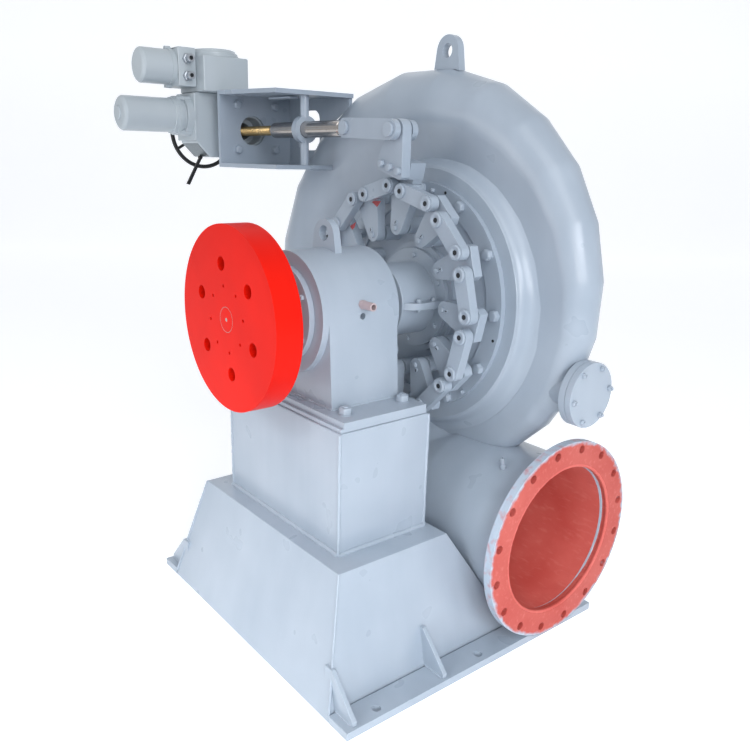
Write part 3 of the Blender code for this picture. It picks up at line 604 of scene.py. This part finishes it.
# %% Case plates
PROUD = 0.0004   # the cutter is this much larger than the inlet pipe
flows = [0.0] + [19.0 + 16.0 * k for k in range(18)] + [300.0]
stations = [pipe_ring(x) for x in (FLANGE_X, ELBOW_X)] + [section_ring(flow) for flow in flows]
case_plates = wrap_grid(stations)
tail_plates = wrap_grid([section_ring(flow, 0.0006) for flow in (291.0, 307.0, 323.0, 339.0, 358.0)])
edit(tail_plates, "EDGE", "DESELECT")
bpy.ops.mesh.select_non_manifold()
bpy.ops.mesh.edge_face_add()
hull = wrap_grid([pipe_ring(x, -PROUD) for x in (FLANGE_X, ELBOW_X)]
    + [section_ring(flow, -PROUD) for flow in (0.0, 19.0, 35.0)], 0.0)
edit(hull, "EDGE", "DESELECT")
bpy.ops.mesh.select_non_manifold()
bpy.ops.mesh.fill()
alone()
cut(tail_plates, hull)
for material in (paint, bore_primer):
    case_plates.data.materials.append(material)
modify(case_plates, "SOLIDIFY", thickness=0.0075, offset=-1.0, material_offset=1, use_even_offset=True)
smooth(38.0)
settle(case_plates, "spiral_case_plates", material=None)
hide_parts("spiral_case")
alone(tail_plates)
smooth(38.0)
settle(tail_plates, "spiral_tail_plates")
print("case faces:", len(case_plates.data.polygons), "tail faces:", len(tail_plates.data.polygons))

# %% [markdown]
# ## Turned pieces and plates
#
# The flywheel, the flange and the pins are turned on a lathe, and they are modelled the
# same way: half of the outline is drawn with a run of extruded vertices, and it is spun
# once round its axis. The doubled points are merged before the normals are made to
# point outwards. A plate starts from the same outline, filled and pulled to its thickness.

# %% Outlines, a lathe and a drill
def draw(points):
    """A closed outline, drawn by extruding one vertex from point to point."""
    alone()
    bpy.ops.mesh.primitive_plane_add(size=0.001, location=points[0])
    piece = bpy.context.object
    edit(piece)
    bpy.ops.mesh.merge(type="CENTER")
    for first, second in zip(points, points[1:] + points[:1]):
        extrude(second - first)
    bpy.ops.mesh.select_all(action="SELECT")
    return piece


def close_up(piece):
    alone(piece)
    keep_place(piece)
    tidy_mesh(piece, 0.00002)
    return piece


def turned(outline, axis, centre, steps, soft=None):
    """Spin an outline of (along, radius) points. Soft is the smooth angle, if any."""
    along, aside = AXES[axis], AXES["x" if axis == "z" else "z"]
    piece = draw([Vector(centre) + along * a + aside * r for a, r in outline])
    bpy.ops.mesh.spin(steps=steps, angle=2.0 * math.pi, center=centre, axis=along)
    close_up(piece)
    if soft:
        smooth(soft)
    return piece


def plate(outline, pull):
    """A flat plate: an outline of points is filled and pulled along a vector."""
    piece = draw([Vector(point) for point in outline])
    bpy.ops.mesh.remove_doubles(threshold=0.00001)
    bpy.ops.mesh.edge_face_add()
    extrude(Vector(pull))
    return close_up(piece)


def drill(piece, axis, places, radius, depth, steps):
    """Cut round holes. Each place is the middle of the drill."""
    tools = [cylinder(steps, radius, depth, place, axis) for place in places]
    tool = join(*tools)
    cut(piece, tool)

# %% Flywheel
wheel = turned([(-0.592, 0.0303), (-0.592, 0.2183), (-0.5242, 0.2183), (-0.5242, 0.085), (-0.49, 0.085),
    (-0.49, 0.0453), (-0.5617, 0.0453), (-0.5617, 0.0303)], "y", AXLE, 128)
drill(wheel, "y", [on_circle(0.1287, 98.2 - 60.0 * k, -0.558) for k in range(6)], 0.0165, 0.09, 36)
drill(wheel, "y", [on_circle(0.0782, 97.6 - 45.0 * k, -0.592) for k in range(8)], 0.004, 0.03, 16)
round_edges(wheel, 0.0016)
settle(wheel, "flywheel_painted", "rotor", red_enamel)
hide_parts("flywheel")
shaft_end = turned([(-0.5918, 0.0), (-0.5918, 0.004), (-0.5926, 0.0055), (-0.5926, 0.027),
    (-0.5918, 0.0298), (-0.59, 0.0298), (-0.59, 0.0)], "y", AXLE, 48)
round_edges(shaft_end, 0.0004)
settle(shaft_end, "shaft_end_painted", "rotor", red_enamel)
print("flywheel faces:", len(wheel.data.polygons))

# %% [markdown]
# ## The inlet flange
#
# A plate flange is slipped over the pipe and welded inside and outside, so a rough bead
# runs round its bore. The face is bare primer and the rim has the grey topcoat. The stay
# ring has a fillet to the case on both sides.

# %% Flange, beads and fillets
flange = turned([(0.4433, 0.202), (0.4433, 0.27), (0.4653, 0.27), (0.4653, 0.2075), (0.459, 0.202)],
    "x", (0.0, FLANGE_Y, INLET_Z), 128)
holes = arc(FLANGE_Y, INLET_Z, 0.2479, [101.3 - 22.5 * k for k in range(16)])
drill(flange, "x", [(0.4543, y, z) for y, z in holes], 0.011, 0.06, 28)
round_edges(flange, 0.0012)
settle(flange, "inlet_flange_primed", "frame", flange_primer)
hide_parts("inlet_flange")


def ripple(piece, name, size, depth):
    """The small even ripples of a hand weld."""
    texture = bpy.data.textures.new(name + "_ripple", "CLOUDS")
    texture.noise_scale = size
    modify(piece, "DISPLACE", texture=texture, strength=depth, mid_level=0.5, texture_coords="LOCAL")


for name, x, y, major, minor, material, slot in (
        ("flange_bore_bead", 0.46, FLANGE_Y, 0.2045, 0.005, bore_primer, "red_primer"),
        ("flange_back_bead", 0.4432, CASE_Y, 0.21, 0.0055, paint, "grey_paint")):
    alone()
    bpy.ops.mesh.primitive_torus_add(location=(x, y, INLET_Z), rotation=TURNED_TO["x"],
        major_radius=major, minor_radius=minor, major_segments=160, minor_segments=10)
    bead = bpy.context.object
    keep_place(bead)
    ripple(bead, name, minor * 1.2, minor * 0.5)
    bpy.ops.object.shade_smooth()
    settle(bead, name, "frame", material)
FILLET = [(0.015, 0.333), (0.0156, 0.343), (0.0185, 0.349), (0.024, 0.3535), (0.033, 0.3575),
    (0.043, 0.3625), (0.05, 0.369), (0.055, 0.378), (0.059, 0.388), (0.072, 0.388), (0.072, 0.333)]
for side, name in ((1, "front"), (-1, "rear")):
    ring = turned([(CASE_Y + side * (a - CASE_Y), r) for a, r in FILLET], "y", AXLE, 128, 50.0)
    settle(ring, "stay_ring_fillet_" + name)
print("flange, beads and fillets made")

# %% [markdown]
# ## Bolts, studs and washers
#
# Hexagon heads catch the light on their turned corners, which a plain six-sided block
# can't do. One head is modelled with its washer: the top face is inset and lifted, so
# each corner is cut at a slant. It is then copied to each place, every copy with its own
# mesh, and the copies of one joint are joined as one piece.

# %% One hexagon head
def hex_head(across, height, washer=0.0, stud=0.0):
    """Head on +Z from z = 0: washer, hexagon with slanted corners, and a stud end."""
    lift = 0.0016 if washer else 0.0
    head = cylinder(6, across / math.sqrt(3.0), height, (0, 0, height / 2 + lift))
    keep_place(head)
    unpick(head, "FACE")
    for face in head.data.polygons:
        face.select = face.normal.z > 0.9
    bpy.ops.object.mode_set(mode="EDIT")
    bpy.ops.mesh.inset(thickness=across * 0.1)
    bpy.ops.transform.translate(value=(0, 0, height * 0.14))
    alone(head)
    modify(head, "BEVEL", width=across * 0.02, segments=1, limit_method="ANGLE",
        angle_limit=math.radians(25.0))
    extras = []
    if washer:
        disc = cylinder(24, washer, lift, (0, 0, lift / 2))
        extras.append(modify(disc, "BEVEL", width=0.0004, segments=1))
    if stud:
        end = cylinder(14, across * 0.3, stud, (0, 0, height * 1.12 + lift + stud / 2 - 0.001))
        extras.append(modify(end, "BEVEL", width=across * 0.05, segments=1, limit_method="ANGLE"))
    join(head, *extras)
    smooth(30.0)
    return head


def copies(model, name, body, places):
    """Copy a model to (point, direction of its +Z, turn in degrees), and join the copies."""
    made = []
    for point, direction, spin in places:
        made.append(copy_of(model, name))
        spun = Matrix.Rotation(math.radians(spin), 4, "Z")
        made[-1].data.transform(standing(point, direction) @ spun)
    join(*made)
    bpy.data.objects.remove(model)
    settle(made[0], name, body)


def bolt_ring(radius, first, count, y, direction, spin, step=-30.0):
    return [(on_circle(radius, first + step * k, y), direction, spin * k) for k in range(count)]

# %% Bolts of the case, the seal and the feet
SIDES = (-1, 1)
nuts = arc(0.114, 0.682, 0.0692, [66.0 + 60.0 * k for k in range(6)])
BOLTS = {   # width across flats, height, washer radius and stud length, then places
    "head_cover_bolts": ((0.0255, 0.0135), bolt_ring(0.2916, 59.0, 12, 0.0, FRONT, 17.0)),
    "rear_cover_bolts": ((0.0255, 0.0135), bolt_ring(0.2916, 59.0, 12, 0.2415, BACK, 11.0)),
    "seal_flange_bolts": ((0.013, 0.006), bolt_ring(0.1168, 87.0, 6, -0.021, FRONT, 23.0, -60.0)),
    "seal_split_bolts": ((0.012, 0.006, 0.008), [
        ((x, y, SHAFT_Z + 0.009), TOP, 20.0) for x in (-0.111, 0.111) for y in (-0.094, -0.042)]),
    "seal_split_nuts": ((0.012, 0.007), [
        ((x, y, SHAFT_Z - 0.009), DOWN, 5.0) for x in (-0.111, 0.111) for y in (-0.094, -0.042)]),
    "bearing_foot_bolts": ((0.0285, 0.014, 0.019, 0.004), [
        ((side * 0.2, y, 0.645), TOP, 12.0 + 31.0 * side) for side in SIDES for y in (-0.394, -0.217)]),
    "hand_hole_nuts": ((0.013, 0.007, 0.0, 0.005), [
        ((0.513, y, z), SIDE, 14.0 * k) for k, (y, z) in enumerate(nuts)]),
    "bracket_plate_bolts": ((0.022, 0.012, 0.015), [
        ((-0.68, y, z), SIDE, 9.0) for y in (-0.171, -0.034) for z in (1.373, 1.24)]),
    "drive_arm_bolts": ((0.0175, 0.0095), [
        ((x, -0.1298, z), FRONT, 15.0) for x, z in ((-0.009, 1.209), (0.023, 1.2), (0.056, 1.191))]),
    "bearing_cover_bolts": ((0.013, 0.006), bolt_ring(0.102, 30.0, 6, -0.44, FRONT, 9.0, 60.0)),
    "cover_small_bolts": ((0.011, 0.007, 0.0, 0.003), [
        (on_circle(0.29, 80.9, 0.0), FRONT, 10.0), (on_circle(0.3, -49.0, 0.0), FRONT, 10.0)]),
}
for name, (sizes, places) in BOLTS.items():
    copies(hex_head(*sizes), name, "lever_02" if name == "drive_arm_bolts" else "frame", places)
print("groups of bolts:", len(BOLTS))

# %% [markdown]
# ## The gate linkage
#
# Twelve sector-shaped levers sit on the stems of the guide vanes. Each one carries two
# pins, and short links join the pins of neighbours, so all gates turn as one closed chain.
# One lever and one link are made, and the others are copies turned round the shaft by
# thirty degrees.

# %% Bars, and twelve of a kind
def bar(radius, low, high, pull, spread=(1.0, 1.0), steps=40):
    """A round bar along Y from low to high, whose +X half is moved and stretched."""
    piece = cylinder(steps, radius, high - low, (0, (low + high) / 2, 0), "y")
    keep_place(piece)
    unpick(piece)
    for vertex in piece.data.vertices:
        vertex.select = vertex.co.x > 0.00001
    bpy.ops.object.mode_set(mode="EDIT")
    bpy.ops.transform.resize(value=(spread[0], 1.0, spread[1]), center_override=(0, 0, 0))
    bpy.ops.transform.translate(value=(pull, 0, 0))
    alone(piece)
    return piece


def place_at(piece, point, heading):
    """Move a piece from the origin to a point, with its +X along a heading in the XZ plane."""
    swing = Matrix.Rotation(math.radians(-heading), 4, "Y")
    piece.data.transform(Matrix.Translation(Vector((point.x, 0, point.z))) @ swing)


def twelve(model, name, body_name, material=paint, node_name=None):
    """Twelve copies turned round the shaft; each rides on its own lever or link."""
    for k in range(12):
        number = "%02d" % (k + 1)
        one = copy_of(model, name + number)
        orbit(one, AXLE, "Y", 30.0 * k)
        settle(one, name + number, body_name + number, material)
        if node_name:
            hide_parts(node_name + number)
    bpy.data.objects.remove(model)

# %% Levers
STEM_R, FIRST_STEM, LEAN, ARM = 0.194, 120.5, 13.55, 0.104
TIP_R = 0.0228
PIN_ALONG, PIN_SIDE = ARM * math.cos(math.radians(15.0)), ARM * math.sin(math.radians(15.0))


def lever_point(index, along, side):
    """A point given along and beside a lever's middle line, from its stem."""
    angle = math.radians(FIRST_STEM - 30.0 * index - LEAN)
    return on_circle(STEM_R, FIRST_STEM - 30.0 * index, 0.0) + Vector((
        along * math.cos(angle) - side * math.sin(angle), 0.0,
        along * math.sin(angle) + side * math.cos(angle)))


upper = [(0.119, 0.0365), (0.105, 0.044), (0.098, 0.044), (0.045, 0.0335)]
upper += arc(0.0, 0.0, TIP_R, range(100, 180, 16))
outline = upper + [(-TIP_R, 0.0)] + [(a, -s) for a, s in upper[::-1]]
lever = plate([(a, -0.084, s) for a, s in outline], (0, 0.028, 0))
round_edges(lever, 0.0016)
spindle = turned([(-0.06, 0.0), (-0.06, 0.011), (0.1925, 0.011), (0.1925, 0.0)], "y", (0, 0, 0), 24)
screw = hex_head(0.013, 0.006)
screw.data.transform(Matrix.Translation((-0.005, -0.0838, 0.0)) @ Matrix.Rotation(math.pi / 2, 4, "X"))
peg = turned([(-0.0872, 0.0), (-0.0872, 0.0048), (-0.0862, 0.0058), (-0.0838, 0.0058), (-0.0838, 0.0)],
    "y", (0, 0, 0), 24)
peg.data.transform(Matrix.Translation((0.009, 0, 0.0015)))
pins = []
for side in SIDES:
    pin = turned([(-0.1189, 0.0), (-0.1189, 0.0082), (-0.1209, 0.0112), (-0.1215, 0.0124),
        (-0.1215, 0.0167), (-0.1197, 0.0185), (-0.116, 0.0185), (-0.116, 0.01), (-0.07, 0.01),
        (-0.07, 0.0)], "y", (0, 0, 0), 36)
    round_edges(pin, 0.0004)
    pin.data.transform(Matrix.Translation((PIN_ALONG, 0, side * PIN_SIDE)))
    pins.append(pin)
vane = bar(0.0065, 0.035, 0.19, 0.036, (3.0, 0.8))
swing = Matrix.Rotation(math.radians(-65.0 - LEAN), 4, "Y")
vane.data.transform(swing @ Matrix.Translation((-0.03, 0, 0)))
lever = join(lever, spindle, screw, peg, vane, *pins)
stem = on_circle(STEM_R, FIRST_STEM, 0.0)
place_at(lever, stem, FIRST_STEM - LEAN)
twelve(lever, "gate_lever_painted_", "lever_", node_name="gate_lever_")
print("levers made, with pins", round(2 * PIN_SIDE, 4), "m apart")

# %% Painted shade in the pin holes and the slits by the screws, and the links
# The notch and the dots are thin dark pieces: painted shade for the slit beside each lever's screw and
# for the hole in each pin's end
notch = bar(0.0011, -0.0878, -0.0866, 0.005, steps=12)
notch.data.transform(Matrix.Translation((0.0075, 0, 0.0015)))
dots = [notch]
for side in SIDES:
    dot = bar(0.0062, -0.1196, -0.1186, 0.0, steps=24)
    dot.data.transform(Matrix.Translation((PIN_ALONG, 0, side * PIN_SIDE)))
    dots.append(dot)
notch = join(*dots)
place_at(notch, stem, FIRST_STEM - LEAN)
twelve(notch, "gate_lever_slot_shade_", "lever_", painted_hole_shade)
first, second = lever_point(-1, PIN_ALONG, -PIN_SIDE), lever_point(0, PIN_ALONG, PIN_SIDE)
between = second - first
link = bar(0.0205, -0.1155, -0.0895, between.length)
drill(link, "y", [(0, -0.1025, 0), (between.length, -0.1025, 0)], 0.0114, 0.06, 24)
round_edges(link, 0.0014)
place_at(link, first, math.degrees(math.atan2(between.z, between.x)))
twelve(link, "gate_link_painted_", "link_", node_name="gate_link_")
print("links made, with pins", round(between.length, 4), "m apart")

# %% Seal housing
drum = turned([(-0.138, 0.047), (-0.138, 0.096), (-0.136, 0.098), (-0.021, 0.098), (-0.021, 0.135),
    (-0.0083, 0.135), (-0.0083, 0.047)], "y", AXLE, 96)
round_edges(drum, 0.0012)
ledges = []
for side in SIDES:
    edge = ((0.08, -0.134), (0.0985, -0.134), (0.118, -0.116), (0.128, -0.09), (0.128, -0.0205),
        (0.08, -0.0205))
    ledge = plate([(side * x, y, SHAFT_Z - 0.009) for x, y in edge], (0, 0, 0.018))
    round_edges(ledge, 0.0012)
    ledges.append(ledge)
settle(join(drum, *ledges), "seal_housing_painted")
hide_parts("seal_housing")
print("seal housing made")

# %% Push rod and lead screw
rod = turned([(-0.541, 0.0), (-0.541, 0.0215), (-0.54, 0.0225), (-0.201, 0.0225), (-0.199, 0.0205),
    (-0.19, 0.0205), (-0.19, 0.0)], "x", ROD, 64, 30.0)
settle(rod, "push_rod_polished", "rod", polished_rod)
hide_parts("push_rod")
thread = [(-0.8, 0.0)]
for k in range(43):
    x = -0.8 + 0.006 * k
    thread += [(x, 0.0122), (x + 0.0012, 0.0145), (x + 0.0038, 0.0145), (x + 0.005, 0.0122)]
screw = turned(thread + [(-0.5413, 0.0122), (-0.5413, 0.0)], "x", ROD, 36, 30.0)
settle(screw, "lead_screw_threaded", "rod", screw_brass)
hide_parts("lead_screw")
print("rod and screw made")

# %% Drive arm and the rod's eye
PIVOT_X, PIVOT_Z, EYE_X, EYE_R = 0.04, 1.29, -0.1425, 0.0195


def with_pivot(piece, x, z):
    """Join a plate with its round pin, which has a head at both ends."""
    pivot = turned([(-0.16, 0.0), (-0.16, 0.0165), (-0.159, 0.0175), (-0.1525, 0.0175),
        (-0.1525, 0.012), (-0.0775, 0.012), (-0.0775, 0.0175), (-0.07, 0.0175), (-0.07, 0.0)],
        "y", (x, 0.0, z), 36)
    round_edges(pivot, 0.0006)
    return join(piece, pivot)


edge = arc(PIVOT_X, PIVOT_Z, 0.027, range(12, 171, 12))
edge += [(0.009, 1.276), (-0.005, 1.26), (-0.018, 1.244), (-0.026, 1.227), (-0.029, 1.21),
    (-0.029, 1.193), (0.057, 1.17), (0.0664, 1.176)]
arm = plate([(x, -0.1295, z) for x, z in edge], (0, 0.0292, 0))
round_edges(arm, 0.0016)
settle(with_pivot(arm, PIVOT_X, PIVOT_Z), "drive_arm_painted", "lever_02")
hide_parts("drive_arm")
edge = [(-0.2, -EYE_R), (EYE_X, -EYE_R)] + arc(EYE_X, 0.0, EYE_R, range(-75, 80, 15))
edge += [(EYE_X, EYE_R), (-0.2, EYE_R)]
tongue = plate([(x, -0.129, ROD_Z + z) for x, z in edge], (0, 0.028, 0))
round_edges(tongue, 0.001)
settle(with_pivot(tongue, EYE_X, ROD_Z), "push_rod_eye_painted", "rod")
print("drive arm and eye made")

# %% Handwheel
WHEEL = (-1.03, ROD_Y, ROD_Z)
alone()
bpy.ops.mesh.primitive_torus_add(location=WHEEL, rotation=TURNED_TO["x"], major_radius=0.116,
                                 minor_radius=0.007, major_segments=96, minor_segments=14)
rim = bpy.context.object
keep_place(rim)
bpy.ops.object.shade_smooth()
hub = turned([(-1.04, 0.0), (-1.04, 0.019), (-1.037, 0.022), (-1.001, 0.022), (-1.0005, 0.0215),
    (-1.0005, 0.0)], "x", ROD, 40)
round_edges(hub, 0.0006)
spokes = []
for k in range(3):
    spoke = cylinder(16, 0.005, 0.1, (WHEEL[0], ROD_Y, ROD_Z + 0.062))
    keep_place(spoke)
    orbit(spoke, ROD, "X", 120.0 * k)
    smooth(40.0)
    spokes.append(spoke)
settle(join(rim, hub, *spokes), "handwheel_rim", "handwheel", black_rim)
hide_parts("handwheel")
print("handwheel made")

# %% Oil nipple
NIPPLE_Y, NIPPLE_Z = -0.308, 0.888
nipple = turned([(0.15, 0.0095), (0.16, 0.0095), (0.1608, 0.0102), (0.1892, 0.0102), (0.19, 0.0094),
    (0.19, 0.0068), (0.16, 0.0068), (0.1595, 0.0), (0.15, 0.0)],
    "x", (0.0, NIPPLE_Y, NIPPLE_Z), 32, 30.0)
nut = cylinder(6, 0.0118, 0.024, (0.1425, NIPPLE_Y, NIPPLE_Z), "x")
round_edges(nut, 0.0006)
settle(join(nipple, nut), "oil_nipple_turned", "frame", nipple_primer)
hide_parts("oil_nipple")
print("oil nipple made")

# %% [markdown]
# ## Weld seams
#
# The pedestal and the column are welded from plate at their corners, and a weld runs round
# the foot of the column. Each seam is a thin round bar, cut into short lengths so that a
# cloud texture can give it the small ripples of hand welding. Paint fills it, so it shows
# as a soft bright ridge.

# %% Seams
def seam(name, start, end, radius, rough=0.5):
    start, end = Vector(start), Vector(end)
    length = (end - start).length
    piece = cylinder(10, radius, length, (0, 0, 0))
    unpick(piece, "EDGE")
    for edge in piece.data.edges:
        first, second = (piece.data.vertices[i].co for i in edge.vertices)
        edge.select = abs(first.z - second.z) > length / 2
    bpy.ops.object.mode_set(mode="EDIT")
    bpy.ops.mesh.subdivide(number_cuts=min(160, int(length / (radius * 0.9))))
    alone(piece)
    piece.data.transform(standing((start + end) / 2, end - start))
    ripple(piece, name, radius * 2.2, radius * rough)
    smooth(60.0)
    settle(piece, name)


COLUMN_X, COLUMN_Z = 0.2535, 0.3155
COLUMN_FRONT, COLUMN_BACK = -0.4492, -0.1752
seams = []
for side in SIDES:
    x = side * COLUMN_X
    seams.append(((side * 0.3935, -0.5745, 0.012), (side * 0.3207, -0.4978, 0.3115), 0.0035))
    for y in (-0.4485, -0.176):
        seams.append(((side * 0.2528, y, 0.3145), (side * 0.253, y, 0.619), 0.0042))
    seams.append(((x, COLUMN_FRONT, COLUMN_Z), (x, COLUMN_BACK, COLUMN_Z), 0.0072))
for y in (COLUMN_FRONT, COLUMN_BACK):
    seams.append(((-COLUMN_X, y, COLUMN_Z), (COLUMN_X, y, COLUMN_Z), 0.0072))
for k, (first, second, radius) in enumerate(seams):
    seam("column_seam_%d" % (k + 1), first, second, radius)
for side, name in ((-1, "left"), (1, "right")):
    for y, place in ((-0.55, "front"), (-0.275, "rear")):
        for face, letter in ((-0.006, "a"), (0.006, "b")):
            seam("gusset_bead_%s_%s_%s" % (name, place, letter), (side * 0.392, y + face, 0.0213),
                (side * 0.454, y + face, 0.0213), 0.0026, 0.3)
for side in SIDES:
    x = side * 0.163
    seam("web_bead_%d" % (2 + side), (x, -0.406, 0.646), (x, -0.2, 0.646), 0.0028)
seam("web_bead_front", (-0.163, -0.4062, 0.646), (0.163, -0.4062, 0.646), 0.0028)
seam("bracket_web_seam", (-0.585, 0.024, 1.2), (-0.585, 0.024, 1.396), 0.0018)
tab = plate([(-0.558, -0.13, 1.386), (-0.44, -0.13, 1.3845), (-0.44, -0.1, 1.3845),
    (-0.558, -0.1, 1.386)], (0.0, 0.0, 0.005))
round_edges(tab, 0.0006)
settle(tab, "bracket_tab")
seam("bracket_end_weld", (-0.356, -0.118, 1.1885), (-0.372, -0.032, 1.1885), 0.0045, 0.8)
print("seams made")

# %% [markdown]
# ## Small parts of the actuator
#
# The actuator is cast aluminium with turned covers. Two cable glands screw into the side
# of the terminal block, the motor has a stepped collar with four cap screws, and a bare
# steel plate covers the slanted side of the gearbox.

# %% Glands
for k, z in enumerate((1.501, 1.452)):
    axis = (0.0, -0.301, z)
    nut = hex_head(0.027, 0.01)
    nut.data.transform(Matrix.Translation((-0.749, -0.301, z)) @ Matrix.Rotation(math.pi / 2, 4, "Y"))
    sleeve = turned([(-0.74, 0.0), (-0.74, 0.0105), (-0.729, 0.0105), (-0.729, 0.0118),
        (-0.719, 0.0118), (-0.7178, 0.0106), (-0.7178, 0.0062), (-0.725, 0.0062), (-0.725, 0.0)],
        "x", axis, 28, 35.0)
    settle(join(nut, sleeve), "cable_gland_%d" % (k + 1), "frame", zinc_steel)
    # A thin dark disc in the gland: painted shade for the depth of its bore
    bore = turned([(-0.725, 0.0), (-0.725, 0.006), (-0.724, 0.006), (-0.724, 0.0)], "x", axis, 24)
    settle(bore, "cable_gland_bore_%d" % (k + 1), "frame", painted_hole_shade)
print("glands made")

# %% Turned covers
MOTOR_X, MOTOR_Z, TERMINAL_Z = -0.805, 1.338, 1.478
MOTOR = (MOTOR_X, 0.0, MOTOR_Z)
TERMINAL = (MOTOR_X, 0.0, TERMINAL_Z)
LID = (-0.785, -0.1925, 0.0)
COVERS = {   # axis, centre, steps, edge width, outline
    "motor_collar": ("y", MOTOR, 64, 0.0008, [
        (-0.342, 0.0505), (-0.342, 0.053), (-0.34, 0.0545), (-0.33, 0.0545), (-0.33, 0.058),
        (-0.318, 0.058), (-0.318, 0.053), (-0.31, 0.053), (-0.31, 0.0505)]),
    "motor_end_boss": ("y", MOTOR, 40, 0.0006, [
        (-0.509, 0.0), (-0.509, 0.018), (-0.5075, 0.02), (-0.5045, 0.02), (-0.5045, 0.0)]),
    "gearbox_output_flange": ("x", ROD, 72, 0.0006, [
        (-0.7502, 0.078), (-0.7502, 0.0822), (-0.744, 0.0822), (-0.743, 0.0812),
        (-0.743, 0.0805), (-0.735, 0.0805), (-0.735, 0.078)]),
    "terminal_cover_rim": ("y", TERMINAL, 64, 0.0006, [
        (-0.344, 0.0505), (-0.344, 0.053), (-0.33, 0.053), (-0.33, 0.0505)]),
    "control_lid_steps": ("z", LID, 72, 0.0005, [
        (1.512, 0.0755), (1.512, 0.079), (1.5185, 0.079), (1.5195, 0.078), (1.5195, 0.0755)]),
}
dome = turned([(1.534, 0.0), (1.534, 0.066), (1.5352, 0.064), (1.5362, 0.05), (1.5368, 0.025),
    (1.5368, 0.0)], "z", LID, 72, 40.0)
joined = {"terminal_cover_rim": [], "control_lid_steps": [dome]}
for z in (TERMINAL_Z + 0.0535, TERMINAL_Z - 0.0535):
    lug = turned([(-0.348, 0.0), (-0.348, 0.007), (-0.329, 0.007), (-0.329, 0.0)],
        "y", (MOTOR_X, 0.0, z), 20)
    round_edges(lug, 0.0008)
    joined["terminal_cover_rim"].append(lug)
for name, (axis, centre, steps, width, outline) in COVERS.items():
    piece = turned(outline, axis, centre, steps)
    round_edges(piece, width)
    settle(join(piece, *joined.get(name, ())), name, material=cast_paint)
print("covers made:", len(COVERS))

# %% Motor lugs, bare plate and side flange
lugs = []
for x, z in arc(MOTOR_X, MOTOR_Z, 0.056, (62.0, 118.0, 242.0, 298.0)):
    for outline in ([(-0.322, 0.0), (-0.322, 0.0085), (-0.276, 0.0085), (-0.276, 0.0)],
                    [(-0.329, 0.0), (-0.329, 0.0025), (-0.327, 0.0025), (-0.327, 0.003),
                     (-0.329, 0.0045), (-0.3285, 0.0055), (-0.3215, 0.0055), (-0.3215, 0.0)]):
        lugs.append(turned(outline, "y", (x, 0.0, z), 20, 35.0))
settle(join(*lugs), "motor_lugs_and_screws", material=cast_paint)
slant = plate([(-0.862, -0.2334, 1.2172), (-0.758, -0.2334, 1.2172), (-0.758, -0.2716, 1.2554),
    (-0.862, -0.2716, 1.2554)], (0.0, -0.0008, -0.0008))
settle(slant, "gearbox_bare_plate", "frame", rolled_plate)
cheek = plate([(-0.874, -0.2748, 1.264), (-0.746, -0.2748, 1.264), (-0.746, -0.2748, 1.406),
    (-0.874, -0.2748, 1.406)], (0.0, -0.009, 0.0))
round_edges(cheek, 0.0025)
settle(cheek, "gearbox_side_flange", material=cast_paint)
print("actuator parts made")

# %% [markdown]
# ## Holes, nipple and patches
#
# Jacking holes in the cover's rim are drawn as thin dark discs: painted shade for the
# inside of each tapped hole. A small pipe nipple stands on the inlet pipe, and two levers
# keep a patch of bare primer.

# %% Small parts on the case
# Thin dark discs on the cover's face: painted shade for the inside of the jacking holes
holes = [cylinder(20, 0.004, 0.001, on_circle(0.297, degrees, -0.0004), "y")
    for degrees in (71.9, -13.6, 161.9, -103.6)]
settle(join(*holes), "jacking_hole_shade", "frame", painted_hole_shade)
stub = turned([(0.0, 0.0), (0.0, 0.0085), (0.01, 0.0085), (0.011, 0.0066), (0.03, 0.0066),
    (0.031, 0.0058), (0.031, 0.0035), (0.02, 0.0035), (0.02, 0.0)], "z", (0, 0, 0), 24, 35.0)
stub.data.transform(standing((0.337, 0.021, 0.4545), Vector((0.0, -0.25, 0.97)).normalized()))
settle(stub, "inlet_pipe_nipple")
PATCHES = {
    "lever_12": ((-0.2004, 1.0356), (-0.1729, 1.0488), (-0.179, 1.033), (-0.19, 1.026)),
    "lever_01": ((-0.1081, 1.1097), (-0.0654, 1.112), (-0.076, 1.1), (-0.0816, 1.0954)),
}
for k, (body, corners) in enumerate(PATCHES.items()):
    patch = plate([(x, -0.0839, z) for x, z in corners], (0, -0.0004, 0))
    settle(patch, "primer_patch_%d" % (k + 1), body, patch_primer)
print("case parts made")

# %% [markdown]
# ## Nodes that keep their own shape
#
# Some solids are already right: the shaft, and the runner inside the case. They stay as
# they are and only get a real material.

# %% Materials on the nodes that stay
for node, material in (("shaft", polished_rod), ("runner", cast_steel)):
    mesh = frame["nodes"][node].data
    mesh.materials.clear()
    mesh.materials.append(material)
    print(node, "is", material.name)
